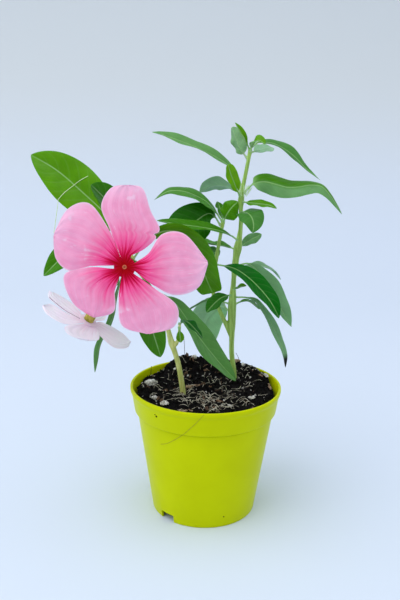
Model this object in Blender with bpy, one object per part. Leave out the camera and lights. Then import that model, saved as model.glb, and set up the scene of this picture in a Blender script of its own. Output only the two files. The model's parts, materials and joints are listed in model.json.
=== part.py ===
"""A young Madagascar periwinkle in a small plastic nursery pot.

Two plants stand in one pot. The left one bears an open five-petalled bloom and a pale, nodding one. The
right one forks low down and carries most of the leaves. Every length below is in millimetres, and MM turns
it into Blender's metres. The origin is the middle of the pot's underside, +Z is up and -Y is the front.
"""

import math
from collections import namedtuple

import bmesh
import bpy
import numpy as np

MM = 0.001

# Clearance between neighbouring solids
GAP = 0.3

# Pot
POT_TOP_DIAMETER = 75.0
POT_HEIGHT = 65.0
POT_BASE_DIAMETER = 52.0
POT_WALL = 1.1
POT_BAND_BOTTOM = 52.5
POT_BAND_STEP = 1.4
POT_BAND_TAPER = 2.2
POT_LIP_HEIGHT = 2.0
POT_LIP_REACH = 0.8
POT_LIP_ROUND = 0.5
POT_FLOOR_UNDERSIDE = 5.0
POT_FLOOR_THICKNESS = 1.2
POT_FOOT_RADIUS = 9.0
POT_FOOT_DRAFT = 0.8
POT_SEGMENTS = 48
NOTCH_WIDTH = 8.0
NOTCH_HEIGHT = 4.0
NOTCH_DEPTH = 10.0
NOTCH_AZIMUTHS = (-132.0, 48.0)
DRAIN_RADIUS = 2.5
DRAIN_CIRCLE_RADIUS = 17.0
DRAIN_COUNT = 4

# Soil: its mean level, its slope towards the back, and the lumps that stand out of it (x, y, spread, height)
SOIL_LEVEL = 61.6
SOIL_SLOPE = 0.03
SOIL_LUMPS = (
    (-12.0, 27.5, 4.0, 3.0),
    (-27.6, 9.8, 2.4, 2.2),
    (-21.0, -9.0, 1.8, 1.2),
    (24.0, 2.0, 2.6, 1.3),
    (4.0, -22.0, 3.0, 0.9),
    (-6.0, -14.0, 2.2, 0.9),
    (14.5, 14.0, 4.0, 1.2),
)
# A bank of soil along the back wall, between two azimuths, where it fades out over a few degrees
SOIL_BANK_RISE = 4.6
SOIL_BANK_RADIUS = 31.5
SOIL_BANK_SPREAD = 4.5
SOIL_BANK_AZIMUTHS = (12.0, 136.0)
SOIL_BANK_FADE = 12.0
SOIL_GRAIN = 0.45
SOIL_RINGS = 11
SOIL_EDGE_REACH = 0.7
SOIL_EDGE_DROP = 1.6
SOIL_SIDE_SLACK = 0.1
SOIL_WAIST_DROP = 0.7
SOIL_SHOULDER_RISE = 1.8

# Stems. Each node is a height on the stem, and the size and spread of the swelling there.
STEM_FOOT = 44.0
STEM_SIDES = 9
HOLE_SIDES = 12
HOLE_CLEARANCE = 1.5 * GAP
Stem = namedtuple("Stem", "route root_radius tip_radius nodes stations")
STEMS = {
    "left": Stem(
        (
            (-10, -2, STEM_FOOT), (-11, -3, 60), (-14, -7, 80), (-16.5, -9, 88), (-18, -11, 95),
            (-21.5, -14, 107), (-26, -17, 117.5), (-31, -19, 126), (-34, -20, 131), (-36, -20, 137),
        ),
        root_radius=1.6,
        tip_radius=0.9,
        nodes=((88, 0.5, 2.5), (117.5, 0.4, 2), (130, 0.5, 2.5)),
        stations=17,
    ),
    "left_shoot": Stem(
        ((-16.2, -8.8, 87), (-14.3, -9.6, 89), (-13.2, -11, 94), (-12.8, -11.5, 99.5)),
        root_radius=1.0,
        tip_radius=0.7,
        nodes=(),
        stations=6,
    ),
    "right": Stem(
        (
            (15, 14, STEM_FOOT), (14.5, 14, 66), (13, 14, 76), (12.8, 14, 88), (12.5, 14, 98.5),
            (12.7, 14, 109.5), (13.5, 14, 124.5), (14.6, 14, 133), (15.6, 13.5, 142.5),
            (15.3, 13, 156.5), (17.2, 12, 169), (18.9, 12, 179.5),
        ),
        root_radius=1.5,
        tip_radius=0.95,
        nodes=((95, 0.8, 6), (104, 0.8, 6), (121, 0.6, 3), (131, 1.1, 5), (156, 0.6, 2.5), (178, 0.2, 2)),
        stations=28,
    ),
    "side": Stem(
        (
            (12.8, 14, 85), (9.7, 14, 92), (6, 14, 100), (2.8, 14, 108),
            (2.6, 14, 116), (3.6, 14, 123.7), (5.5, 13, 136.5), (6.8, 13, 144.5),
        ),
        root_radius=1.2,
        tip_radius=0.9,
        nodes=((123.7, 0.4, 2), (143, 0.4, 2)),
        stations=13,
    ),
}

# Leaves. The midrib starts on its stem's axis and ends at the tip. The blade turns about it by roll at the
# foot and by roll plus twist at the tip, and fold lifts its halves into a V. The lower the two powers, the
# blunter the blade is at its foot and at its tip. The names count up the stems.
Leaf = namedtuple("Leaf", "stem midrib width roll twist fold foot tip", defaults=(0, 0, 14, 0.9, 0.78))
LONG_LEAF = 26.0
LEAVES = {
    "leaf_left_1": Leaf(
        "left_shoot", ((-13, -11, 97), (-12.9, -13, 96.5), (-12.2, -14, 91)),
        width=4,
    ),
    "leaf_left_2": Leaf(
        "left_shoot", ((-12.8, -11.5, 99.5), (-9.5, -18.3, 102.8), (-6.4, -21.2, 101), (-1.9, -21.2, 95.6)),
        width=6.4,
    ),
    "leaf_left_3": Leaf(
        "left", ((-26, -17, 117.5), (-16.3, -10, 110.1), (-3.1, -4, 89.7), (8, -1, 74.9), (15, 0, 67)),
        width=15, roll=60,
    ),
    "leaf_left_4": Leaf(
        "left", ((-31, -19, 127), (-28, -26, 122), (-26, -28, 107), (-21, -24, 87)),
        width=13, fold=10,
    ),
    "leaf_left_5": Leaf(
        "left",
        (
            (-33, -19, 129), (-37.5, -15, 126), (-42, -12, 115), (-44.7, -9, 102),
            (-47.8, -8.5, 94.7), (-51.2, -8.5, 88.6), (-53.8, -9.5, 73.3),
        ),
        width=6, roll=-30, twist=30,
    ),
    "leaf_left_6": Leaf(
        "left",
        (
            (-34, -20, 132), (-25.7, -21, 142.5), (-19.5, -21, 145.3), (-12.8, -20.5, 144.5),
            (-7, -20, 140), (-3.8, -15, 131.7), (-1.4, -11.3, 123.4), (2.5, -10, 114.5),
        ),
        width=15, roll=85, twist=60, fold=8, foot=0.8, tip=0.12,
    ),
    "leaf_left_7": Leaf(
        "left", ((-35, -20, 134), (-49, -16, 139), (-62, -14, 135), (-76, -14, 122)),
        width=13, roll=-60, fold=12,
    ),
    "leaf_left_8": Leaf(
        "left", ((-36, -20, 136), (-44, -14, 148), (-59, -8, 161), (-71, -4, 170), (-83, 0, 176)),
        width=21, roll=-55, fold=8,
    ),
    "leaf_left_9": Leaf(
        "left", ((-36, -20, 137), (-38, -26, 148), (-45, -28, 160), (-51, -28, 166)),
        width=16, roll=-15, tip=0.6,
    ),
    "leaf_right_1": Leaf(
        "right", ((12.5, 14, 97), (7.5, 22, 99.5), (-0.5, 26, 89.5), (-1.1, 28, 78.9), (0.7, 28, 68.8)),
        width=17.5, roll=65, foot=0.6,
    ),
    "leaf_right_2": Leaf(
        "right", ((12.5, 14, 102.5), (1, 18.8, 103.4), (-10, 24, 96.2)),
        width=5.6,
    ),
    "leaf_right_3": Leaf(
        "right", ((12.5, 14, 102), (20, 17, 104), (27, 22, 98)),
        width=6,
    ),
    "leaf_right_4": Leaf(
        "right", ((12.7, 14, 107.5), (7.2, 8, 107.7), (3.3, 6, 104.8), (-0.3, 4, 100.9)),
        width=8, roll=-25, fold=16,
    ),
    "leaf_right_5": Leaf(
        "right",
        (
            (12.7, 14, 106.3), (19.2, 11, 107.1), (22.2, 10.5, 107.1), (25.2, 10, 104.9),
            (28.3, 9, 100.9), (31.4, 8.5, 95.9), (34.4, 8, 90.4), (37.1, 7.5, 84.3), (39.4, 7, 78.2),
            (40, 6, 72.4),
        ),
        width=5.5, roll=35, fold=15,
    ),
    "leaf_right_6": Leaf(
        "right", ((12.7, 14, 110), (16, 9, 113), (19, 7, 114)),
        width=4, roll=30, fold=30,
    ),
    "leaf_right_7": Leaf(
        "right",
        (
            (13.3, 14, 122), (19.2, 13, 124), (23.4, 11, 121.8), (27.5, 9.5, 116.6),
            (31.7, 7, 110.2), (36.7, 4, 102.5), (41.4, 1, 95.3),
        ),
        width=13.6, roll=20, fold=18, foot=0.95, tip=0.95,
    ),
    "leaf_right_8": Leaf(
        "right", ((13.3, 14, 121), (22.4, 24, 120.2), (29, 30, 119.2), (34, 33, 116), (38.5, 34, 111)),
        width=6.6, roll=20, tip=0.6,
    ),
    "leaf_right_9": Leaf(
        "right", ((14.9, 14, 135), (7, 5, 141), (-4, -1, 144), (-15, -6, 146), (-24, -9, 148)),
        width=8.5, roll=-35, fold=15,
    ),
    "leaf_right_10": Leaf(
        "right", ((14.6, 14, 131), (19, 22, 133), (27, 30, 136)),
        width=6, roll=40,
    ),
    "leaf_right_11": Leaf(
        "right", ((14.5, 14, 130), (9, 21, 131), (0, 27, 131), (-8, 33, 132)),
        width=9,
    ),
    "leaf_right_12": Leaf(
        "right",
        (
            (15.3, 13, 154.5), (19.5, 9.5, 154.6), (24.2, 7.5, 154.4),
            (28.4, 6, 154), (32.1, 5, 152.7),
        ),
        width=6, roll=25, fold=10, foot=0.6,
    ),
    "leaf_right_13": Leaf(
        "right", ((15.3, 13, 149.6), (18.3, 6, 150.1), (20.3, 2, 148.2), (21, 0, 144.9), (20.6, -1, 141.8)),
        width=12.5, roll=15, fold=8, foot=0.6,
    ),
    "leaf_right_14": Leaf(
        "right",
        (
            (15.4, 13, 157), (19.7, 11, 162.7), (23, 10, 164.5), (27.7, 9, 164.7), (35.7, 7, 162.7),
            (42.5, 5, 163.1), (48, 4, 164.2), (52.5, 2.5, 163.6), (56.8, 1.5, 159.1), (62.2, 0, 151.4),
        ),
        width=11.5, roll=78, twist=-62, fold=-16, foot=0.32,
    ),
    "leaf_right_15": Leaf(
        "right",
        (
            (15.6, 13, 160), (13.8, 15, 165.7), (9.3, 17, 171.2), (1.7, 18, 175.8), (-8.5, 19, 180.3),
            (-18.8, 20, 183.8), (-24.2, 21, 185.4), (-28.7, 22, 186.4),
        ),
        width=8.5, roll=2, fold=20,
    ),
    "leaf_right_16": Leaf(
        "right", ((15.4, 13, 158), (9, 20, 161), (2, 24, 161), (-5, 28, 157)),
        width=10, roll=50,
    ),
    "leaf_right_17": Leaf(
        "right", ((15.3, 13, 155.5), (11.7, 8.5, 163.8), (9.5, 6, 168.9), (8.2, 5, 172.9)),
        width=6.6, roll=-110, fold=20, foot=0.5, tip=0.3,
    ),
    "leaf_right_18": Leaf(
        "right",
        (
            (18.6, 12, 177.5), (21, 12.5, 182.3), (28.8, 9, 182.9), (34.8, 7, 180.2), (40.4, 5, 176.1),
            (44.6, 3, 171.7), (51, 0, 167),
        ),
        width=8, roll=10, foot=0.6, tip=1.1,
    ),
    "leaf_right_19": Leaf(
        "right", ((18.7, 12, 178), (25, 19, 179), (30, 26, 180)),
        width=9, roll=20,
    ),
    "leaf_right_20": Leaf(
        "right", ((18.1, 12, 174.5), (14.5, 13, 179.4), (12.2, 14.5, 184.2), (10, 16, 189.7)),
        width=10, roll=60, fold=12, foot=0.5, tip=0.6,
    ),
    "leaf_right_21": Leaf(
        "right", ((18.5, 12.3, 179), (15.6, 8.3, 184.8), (11, 7, 192)),
        width=4.5, roll=-80, fold=35,
    ),
    "leaf_right_22": Leaf(
        "right", ((19, 11.7, 178.3), (20.2, 7.6, 182.9), (22.2, 5.2, 184.2), (25.4, 3.8, 182.6)),
        width=6.5, roll=50, fold=25,
    ),
    "leaf_side_1": Leaf(
        "side",
        (
            (3.6, 14, 123), (13.3, 4, 123.1), (19.1, 1, 119.9),
            (24.3, -1, 115.6), (30.6, -4, 108.5), (34.5, -5, 101.3),
        ),
        width=11.5, roll=25, fold=18,
    ),
    "leaf_side_2": Leaf(
        "side", ((3.6, 14, 124.5), (2, 22, 127), (-2, 28, 128.6)),
        width=9,
    ),
    "leaf_side_3": Leaf(
        "side", ((6.6, 13, 141.3), (0.6, 12, 148.6), (-7.5, 8, 144.5), (-20, 5, 133.5)),
        width=20, roll=-45, fold=8,
    ),
    "leaf_side_4": Leaf(
        "side",
        (
            (6.8, 13, 144), (0.3, 10, 153.3), (-5.5, 8, 157.1), (-12.2, 5, 159.9), (-19.6, 3, 160),
            (-26.1, 2, 156),
        ),
        width=10, roll=-32, fold=2, foot=0.6, tip=1.1,
    ),
    "leaf_side_5": Leaf(
        "side", ((6.8, 13, 144), (6, 19, 148), (4, 24, 153)),
        width=7, roll=30,
    ),
    "leaf_side_6": Leaf(
        "side", ((6.8, 13, 144), (8.6, 10, 148.9), (10.9, 9.3, 152.4), (13.7, 8.5, 155.2)),
        width=10, roll=-60, fold=12, foot=0.5,
    ),
}
BLADE_HALF_THICKNESS = 0.32
PETIOLE_HALF_WIDTH = 0.45
PETIOLE_SHARE = 0.09
WAVE_HEIGHT = 0.5
WAVES = 2.5

# Young leaves are a brighter green than the others
YOUNG_LEAVES = (
    "leaf_left_1", "leaf_left_8", "leaf_right_6", "leaf_right_12",
    "leaf_right_17", "leaf_right_20", "leaf_right_21", "leaf_right_22",
)

# Blooms. A petal's outline runs up its two edges to the tip, in millimetres from the throat, with x to the
# right and y up as the bloom is looked at from its front.
Petal = namedtuple("Petal", "one_edge other_edge tip")
Bloom = namedtuple("Bloom", "throat base petals reflex collar_radius swelling")
BLOOMS = {
    "main": Bloom(
        (-34.8, -46, 134.1),
        (-34.7, -25.5, 131.5),
        (
            Petal(
                ((-2, 5), (-6.5, 16), (-10, 25), (-6, 32.5)),
                ((3, 5), (9, 8.5), (14, 15), (10, 24), (7, 32.5)),
                tip=(1, 34),
            ),
            Petal(
                ((-5, 0.5), (-14, 0), (-23, -2.3), (-29, 3)),
                ((-2.5, 6), (-7, 16), (-15, 26), (-24, 23.5)),
                tip=(-30, 13),
            ),
            Petal(
                ((-2, -4), (-4, -10), (-4.5, -19)),
                ((-5, -0.8), (-15, -0.5), (-25.5, -4), (-22, -15.5)),
                tip=(-13, -22),
            ),
            Petal(
                ((4, -2.8), (12, -8.3), (22, -16), (21, -25)),
                ((-1.5, -5), (-2.5, -14), (-1, -25)),
                tip=(10, -28.5),
            ),
            Petal(
                ((4.5, 2), (10, 6), (15.5, 14), (25, 14)),
                ((4.5, -1.8), (11, -6.8), (21, -11.5), (31, -8)),
                tip=(35, 2.5),
            ),
        ),
        reflex=1.6,
        collar_radius=3.6,
        swelling=1.9,
    ),
    "pale": Bloom(
        (-55.2, -18, 101.9),
        (-42.5, -21.8, 123.5),
        (
            Petal(
                ((4, 2), (6, 10), (5, 20)),
                ((0, 3), (-4, 9), (-3.5, 19)),
                tip=(0, 23.5),
            ),
            Petal(
                ((5, 0.5), (15.5, 4.5), (18, 12.5)),
                ((3.5, 2), (6.5, 9.5), (8, 16.5)),
                tip=(15, 18),
            ),
            Petal(
                ((1, -3), (1.8, -7), (8.5, -10.8)),
                ((4.5, 0), (16, 3.5), (20.8, 0.5), (19, -4.5)),
                tip=(14, -8.5),
            ),
            Petal(
                ((-1.5, -2), (-7.5, -5), (-10.3, -15)),
                ((1, -3), (4.5, -9), (6, -18), (-1, -22)),
                tip=(-8, -21),
            ),
            Petal(
                ((-2, 3), (-10, 9), (-17, 7.5)),
                ((-3, -1.5), (-10, -4), (-17, -1.5)),
                tip=(-20, 3),
            ),
        ),
        reflex=0.8,
        collar_radius=3.4,
        swelling=2.4,
    ),
}
PETAL_HALF_THICKNESS = 0.34
PETAL_ROWS = 8
PETAL_COLUMNS = 4
TUBE_RADIUS = 1.25
TUBE_SIDES = 10

# Calyces: the flower stalk from the stem, a small cup and five narrow sepals
Calyx = namedtuple("Calyx", "stalk bloom")
CALYCES = {
    "main": Calyx(((-34, -20, 131), (-34.6, -22.5, 131.3)), "main"),
    "pale": Calyx(((-33.2, -19.7, 128.5), (-37, -21.5, 128.5), (-40.2, -21.9, 127.2)), "pale"),
}
STALK_RADIUS = 0.75
CUP_RADIUS = 2.1
CUP_THICKNESS = 0.8
SEPAL_LENGTH = 4.2
SEPAL_SPREAD = 1.3
SEPAL_RADIUS = 0.45
SEPAL_COUNT = 5

COLOURS = {
    "pot_plastic": ((0.49, 0.60, 0.006), 0.38),
    "potting_soil": ((0.018, 0.013, 0.010), 0.95),
    "stem_green": ((0.33, 0.45, 0.11), 0.55),
    "leaf_green": ((0.045, 0.22, 0.018), 0.42),
    "leaf_young": ((0.12, 0.36, 0.025), 0.42),
    "petal_pink": ((0.85, 0.20, 0.42), 0.55),
    "petal_pale": ((0.90, 0.68, 0.78), 0.55),
    "sepal_green": ((0.10, 0.30, 0.04), 0.5),
}


# Meshes


def clear_scene():
    for thing in list(bpy.data.objects):
        bpy.data.objects.remove(thing, do_unlink=True)


def material(name):
    made = bpy.data.materials.get(name)
    if made:
        return made
    colour, roughness = COLOURS[name]
    made = bpy.data.materials.new(name)
    made.use_nodes = True
    shader = made.node_tree.nodes["Principled BSDF"]
    shader.inputs["Base Color"].default_value = (*colour, 1.0)
    shader.inputs["Roughness"].default_value = roughness
    shader.inputs["Metallic"].default_value = 0.0
    made.diffuse_color = (*colour, 1.0)
    return made


def add_object(name, solid, material_name):
    """An object of one closed solid, (points in millimetres, faces), with its faces turned outwards."""
    points, faces = solid
    mesh = bpy.data.meshes.new(name)
    mesh.from_pydata((np.asarray(points) * MM).tolist(), [], [list(face) for face in faces])
    work = bmesh.new()
    work.from_mesh(mesh)
    bmesh.ops.recalc_face_normals(work, faces=work.faces)
    work.to_mesh(mesh)
    work.free()
    mesh.shade_smooth()
    mesh.set_sharp_from_angle(angle=math.radians(40))
    mesh.materials.append(material(material_name))
    made = bpy.data.objects.new(name, mesh)
    bpy.context.scene.collection.objects.link(made)
    return made


def boolean(target, operation, tools):
    """Applies one Boolean of the target with a collection of tools, and removes the tools."""
    group = bpy.data.collections.new(target.name + "_tools")
    bpy.context.scene.collection.children.link(group)
    for tool in tools:
        for home in list(tool.users_collection):
            home.objects.unlink(tool)
        group.objects.link(tool)
        tool.display_type = "WIRE"
        tool.hide_render = True
    modifier = target.modifiers.new("join", "BOOLEAN")
    modifier.operation = operation
    modifier.solver = "EXACT"
    modifier.operand_type = "COLLECTION"
    modifier.collection = group
    graph = bpy.context.evaluated_depsgraph_get()
    mesh = bpy.data.meshes.new_from_object(target.evaluated_get(graph))
    mesh.name = target.name
    target.modifiers.remove(modifier)
    target.data = mesh
    for tool in list(group.objects):
        bpy.data.objects.remove(tool, do_unlink=True)
    bpy.data.collections.remove(group)
    mesh.shade_smooth()
    mesh.set_sharp_from_angle(angle=math.radians(40))
    return target


# Curves in space


def unit(vectors):
    vectors = np.asarray(vectors, float)
    return vectors / np.linalg.norm(vectors, axis=-1, keepdims=True)


def evenly(line, count):
    """count + 1 points, evenly spaced along a line of many points."""
    along = np.concatenate([[0], np.cumsum(np.linalg.norm(np.diff(line, axis=0), axis=1))])
    wanted = np.linspace(0, along[-1], count + 1)
    return np.stack([np.interp(wanted, along, line[:, axis]) for axis in range(line.shape[1])], axis=1)


def smooth_path(points, count):
    """count + 1 points, evenly spaced, on a centripetal Catmull-Rom curve through the given ones."""
    points = np.asarray(points, float)
    if len(points) == 2:
        return evenly(points, count)
    ends = [2 * points[0] - points[1]], [2 * points[-1] - points[-2]]
    points = np.concatenate([ends[0], points, ends[1]])
    knots = np.concatenate([[0], np.cumsum(np.sqrt(np.linalg.norm(np.diff(points, axis=0), axis=1)))])
    fine = []
    for i in range(1, len(points) - 2):
        for at in np.linspace(knots[i], knots[i + 1], 20, endpoint=False):
            fine.append(blend_span(points[i - 1 : i + 3], knots[i - 1 : i + 3], at))
    return evenly(np.array(fine + [points[-2]]), count)


def blend(a, b, low, high, at):
    return ((high - at) * a + (at - low) * b) / (high - low)


def blend_span(points, knots, at):
    """The point at a knot value on one span of the curve, by repeated linear blending."""
    first = [blend(points[i], points[i + 1], knots[i], knots[i + 1], at) for i in range(3)]
    second = [blend(first[i], first[i + 1], knots[i], knots[i + 2], at) for i in range(2)]
    return blend(second[0], second[1], knots[1], knots[2], at)


def carried_frames(path, start):
    """Tangents, and the start direction carried along the path without turning about it."""
    tangents = unit(np.gradient(path, axis=0))
    start = np.asarray(start, float)
    side = start - (start @ tangents[0]) * tangents[0]
    if np.linalg.norm(side) < 0.15:
        side = np.array([0.0, 1.0, 0.0]) - tangents[0][1] * tangents[0]
    normals = [unit(side)]
    for tangent in tangents[1:]:
        carried = normals[-1] - (normals[-1] @ tangent) * tangent
        normals.append(unit(carried))
    return tangents, np.array(normals)


def tube(path, radii, sides):
    """A closed tube of the given radius at each point of the path."""
    tangents, normals = carried_frames(path, (1.0, 0.0, 0.0))
    across = np.cross(tangents, normals)
    angles = np.linspace(0, 2 * math.pi, sides, endpoint=False)
    rings = [
        path[i] + radii[i] * (np.cos(angles)[:, None] * normals[i] + np.sin(angles)[:, None] * across[i])
        for i in range(len(path))
    ]
    faces = [
        (i * sides + j, i * sides + (j + 1) % sides, (i + 1) * sides + (j + 1) % sides, (i + 1) * sides + j)
        for i in range(len(path) - 1)
        for j in range(sides)
    ]
    last = (len(path) - 1) * sides
    faces += [tuple(range(sides)), tuple(last + j for j in reversed(range(sides)))]
    return np.concatenate(rings), faces


def turned(profile, segments):
    """A solid of revolution about Z. The profile of (radius, height) starts and ends on the axis."""
    points = [(0.0, 0.0, profile[0][1])]
    for radius, height in profile[1:-1]:
        for j in range(segments):
            angle = 2 * math.pi * j / segments
            points.append((radius * math.cos(angle), radius * math.sin(angle), height))
    points.append((0.0, 0.0, profile[-1][1]))
    rings = len(profile) - 2
    faces = []
    for j in range(segments):
        after = (j + 1) % segments
        faces.append((0, 1 + after, 1 + j))
        for i in range(rings - 1):
            low, high = 1 + i * segments, 1 + (i + 1) * segments
            faces.append((low + j, low + after, high + after, high + j))
        top = 1 + (rings - 1) * segments
        faces.append((top + j, top + after, len(points) - 1))
    return np.array(points), faces


def sheet_solid(middle, half_thickness):
    """A closed thin solid about a grid of points, with both faces split into triangles alike."""
    rows, columns = middle.shape[:2]
    along = np.gradient(middle, axis=0)
    across = np.gradient(middle, axis=1)
    normals = unit(np.cross(along, across))
    offset = np.broadcast_to(half_thickness, (rows, columns))[..., None] * normals
    points = np.concatenate([(middle + offset).reshape(-1, 3), (middle - offset).reshape(-1, 3)])
    under = rows * columns
    faces = []
    for i in range(rows - 1):
        for j in range(columns - 1):
            a, b = i * columns + j, i * columns + j + 1
            c, d = b + columns, a + columns
            faces += [(a, b, c), (a, c, d)]
            faces += [(under + a, under + c, under + b), (under + a, under + d, under + c)]
    rim = [j for j in range(columns)]
    rim += [i * columns + columns - 1 for i in range(1, rows)]
    rim += [(rows - 1) * columns + j for j in reversed(range(columns - 1))]
    rim += [i * columns for i in reversed(range(1, rows - 1))]
    for a, b in zip(rim, rim[1:] + rim[:1]):
        faces += [(b, a, under + a), (b, under + a, under + b)]
    return points, faces


# Pot and soil


def wall_radius(height):
    """Outer radius of the pot's body below its band."""
    base = POT_BASE_DIAMETER / 2
    top = POT_TOP_DIAMETER / 2 - POT_BAND_TAPER - POT_BAND_STEP
    return base + (top - base) * height / POT_BAND_BOTTOM


def make_pot():
    rim = POT_TOP_DIAMETER / 2
    shoulder = wall_radius(POT_BAND_BOTTOM)
    band = shoulder + POT_BAND_STEP
    lip_bottom = POT_HEIGHT - POT_LIP_HEIGHT
    floor_top = POT_FLOOR_UNDERSIDE + POT_FLOOR_THICKNESS
    profile = (
        # The foot disc, the raised floor's underside and the foot ring
        (0.0, 0.0),
        (POT_FOOT_RADIUS, 0.0),
        (POT_FOOT_RADIUS + POT_FOOT_DRAFT, POT_FLOOR_UNDERSIDE),
        (wall_radius(POT_FLOOR_UNDERSIDE) - POT_WALL, POT_FLOOR_UNDERSIDE),
        (wall_radius(0) - POT_WALL, 0.0),
        (wall_radius(0), 0.0),
        # Up the outside: the body, the step, the band and the lip
        (shoulder, POT_BAND_BOTTOM),
        (band, POT_BAND_BOTTOM + POT_LIP_ROUND),
        (rim - POT_LIP_REACH, lip_bottom - POT_LIP_REACH),
        (rim, lip_bottom),
        (rim, POT_HEIGHT - POT_LIP_ROUND),
        (rim - POT_LIP_ROUND, POT_HEIGHT),
        # Down the inside
        (rim - POT_WALL, POT_HEIGHT),
        (rim - POT_WALL - POT_LIP_ROUND, POT_HEIGHT - 2 * POT_LIP_ROUND),
        (band - POT_WALL, POT_BAND_BOTTOM + POT_BAND_STEP),
        (shoulder - POT_WALL, POT_BAND_BOTTOM - POT_LIP_ROUND),
        (wall_radius(floor_top) - POT_WALL, floor_top),
        (0.0, floor_top),
    )
    pot = add_object("pot", turned(profile, POT_SEGMENTS), "pot_plastic")
    cutters = []
    for azimuth in NOTCH_AZIMUTHS:
        bpy.ops.mesh.primitive_cube_add(size=1)
        notch = bpy.context.object
        notch.scale = (NOTCH_DEPTH * MM, NOTCH_WIDTH * MM, 2 * NOTCH_HEIGHT * MM)
        angle = math.radians(azimuth)
        notch.rotation_euler = (0, 0, angle)
        reach = wall_radius(0) * MM
        notch.location = (reach * math.cos(angle), reach * math.sin(angle), 0)
        cutters.append(notch)
    for i in range(DRAIN_COUNT):
        angle = 2 * math.pi * (i + 0.5) / DRAIN_COUNT
        reach = DRAIN_CIRCLE_RADIUS * MM
        place = (reach * math.cos(angle), reach * math.sin(angle), floor_top * MM)
        bpy.ops.mesh.primitive_cylinder_add(
            vertices=16, radius=DRAIN_RADIUS * MM, depth=4 * POT_FLOOR_THICKNESS * MM, location=place
        )
        cutters.append(bpy.context.object)
    return boolean(pot, "DIFFERENCE", cutters)


def soil_height(x, y):
    """The soil's mean level, its slope, its lumps, its bank at the back and an even small grain."""
    height = SOIL_LEVEL + SOIL_SLOPE * y
    for lump_x, lump_y, spread, rise in SOIL_LUMPS:
        height += rise * math.exp(-((x - lump_x) ** 2 + (y - lump_y) ** 2) / (2 * spread**2))
    azimuth = math.degrees(math.atan2(y, x))
    first, last = SOIL_BANK_AZIMUTHS
    fade = min(azimuth - first, last - azimuth) / SOIL_BANK_FADE
    off = (math.hypot(x, y) - SOIL_BANK_RADIUS) / SOIL_BANK_SPREAD
    height += SOIL_BANK_RISE * min(1.0, max(0.0, fade)) * math.exp(-(off**2) / 2)
    height += SOIL_GRAIN * math.sin(1.1 * x + 0.6 * y) * math.sin(0.8 * y - 0.5 * x + 1.0)
    return height


def make_soil():
    draw = np.random.RandomState(11)
    floor_top = POT_FLOOR_UNDERSIDE + POT_FLOOR_THICKNESS + GAP
    inset = POT_WALL + GAP
    shoulder = wall_radius(POT_BAND_BOTTOM) - inset
    upper = shoulder + POT_BAND_STEP
    sides = (
        (wall_radius(floor_top) - inset, floor_top),
        (shoulder - SOIL_SIDE_SLACK, POT_BAND_BOTTOM - SOIL_WAIST_DROP),
        (upper - SOIL_SIDE_SLACK, POT_BAND_BOTTOM + SOIL_SHOULDER_RISE),
    )
    edge = upper + SOIL_EDGE_REACH
    points = [(0.0, 0.0, floor_top)]
    angles = [2 * math.pi * j / POT_SEGMENTS for j in range(POT_SEGMENTS)]
    for radius, height in sides:
        points += [(radius * math.cos(a), radius * math.sin(a), height) for a in angles]
    for i in range(SOIL_RINGS):
        radius = edge * (1 - i / SOIL_RINGS) ** 0.9
        for a in angles:
            x, y = radius * math.cos(a), radius * math.sin(a)
            grain = draw.uniform(-SOIL_GRAIN, SOIL_GRAIN) * min(1.0, radius / 10)
            drop = SOIL_EDGE_DROP if i == 0 else 0.0
            points.append((x, y, soil_height(x, y) - drop + grain))
    points.append((0.0, 0.0, soil_height(0, 0)))
    rings = len(sides) + SOIL_RINGS
    faces = []
    for j in range(POT_SEGMENTS):
        after = (j + 1) % POT_SEGMENTS
        faces.append((0, 1 + after, 1 + j))
        for i in range(rings - 1):
            low, high = 1 + i * POT_SEGMENTS, 1 + (i + 1) * POT_SEGMENTS
            faces += [(low + j, low + after, high + after), (low + j, high + after, high + j)]
        top = 1 + (rings - 1) * POT_SEGMENTS
        faces.append((top + j, top + after, len(points) - 1))
    soil = add_object("soil", (np.array(points), faces), "potting_soil")
    holes = []
    for name in ("left", "right"):
        stem = STEMS[name]
        path = smooth_path(stem.route, stem.stations)
        buried = path[path[:, 2] < SOIL_LEVEL + 10]
        buried[0] += HOLE_CLEARANCE * unit(buried[0] - buried[1])
        hole = tube(buried, [stem.root_radius + HOLE_CLEARANCE] * len(buried), HOLE_SIDES)
        holes.append(add_object("hole_" + name, hole, "potting_soil"))
    return boolean(soil, "DIFFERENCE", holes)


# Stems


def stem_radius(stem, path, i):
    """The stem's taper, with a swelling at each of its nodes."""
    share = i / (len(path) - 1)
    radius = stem.root_radius + (stem.tip_radius - stem.root_radius) * share
    for height, swelling, spread in stem.nodes:
        radius += swelling * math.exp(-(((path[i][2] - height) / spread) ** 2))
    return radius


def stem_solid(stem):
    """The stem, closed by a small dome at its tip."""
    path = smooth_path(stem.route, stem.stations)
    radii = [stem_radius(stem, path, i) for i in range(len(path))]
    dome = path[-1] + 0.75 * radii[-1] * unit(path[-1] - path[-2])
    return tube(np.concatenate([path, [dome]]), [*radii, 0.5 * radii[-1]], STEM_SIDES)


def make_stems():
    left = add_object("stem_left", stem_solid(STEMS["left"]), "stem_green")
    shoot = add_object("shoot", stem_solid(STEMS["left_shoot"]), "stem_green")
    boolean(left, "UNION", [shoot])
    right = add_object("stem_right", stem_solid(STEMS["right"]), "stem_green")
    side = add_object("side", stem_solid(STEMS["side"]), "stem_green")
    boolean(right, "UNION", [side])


def clearance(path, names):
    """How far each point of the path is from the surfaces of the named stems."""
    nearest = np.full(len(path), np.inf)
    for name in names:
        stem = STEMS[name]
        axis = smooth_path(stem.route, 160)
        for i, point in enumerate(axis):
            away = np.linalg.norm(path - point, axis=1) - stem_radius(stem, axis, i)
            nearest = np.minimum(nearest, away)
    return nearest


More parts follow.
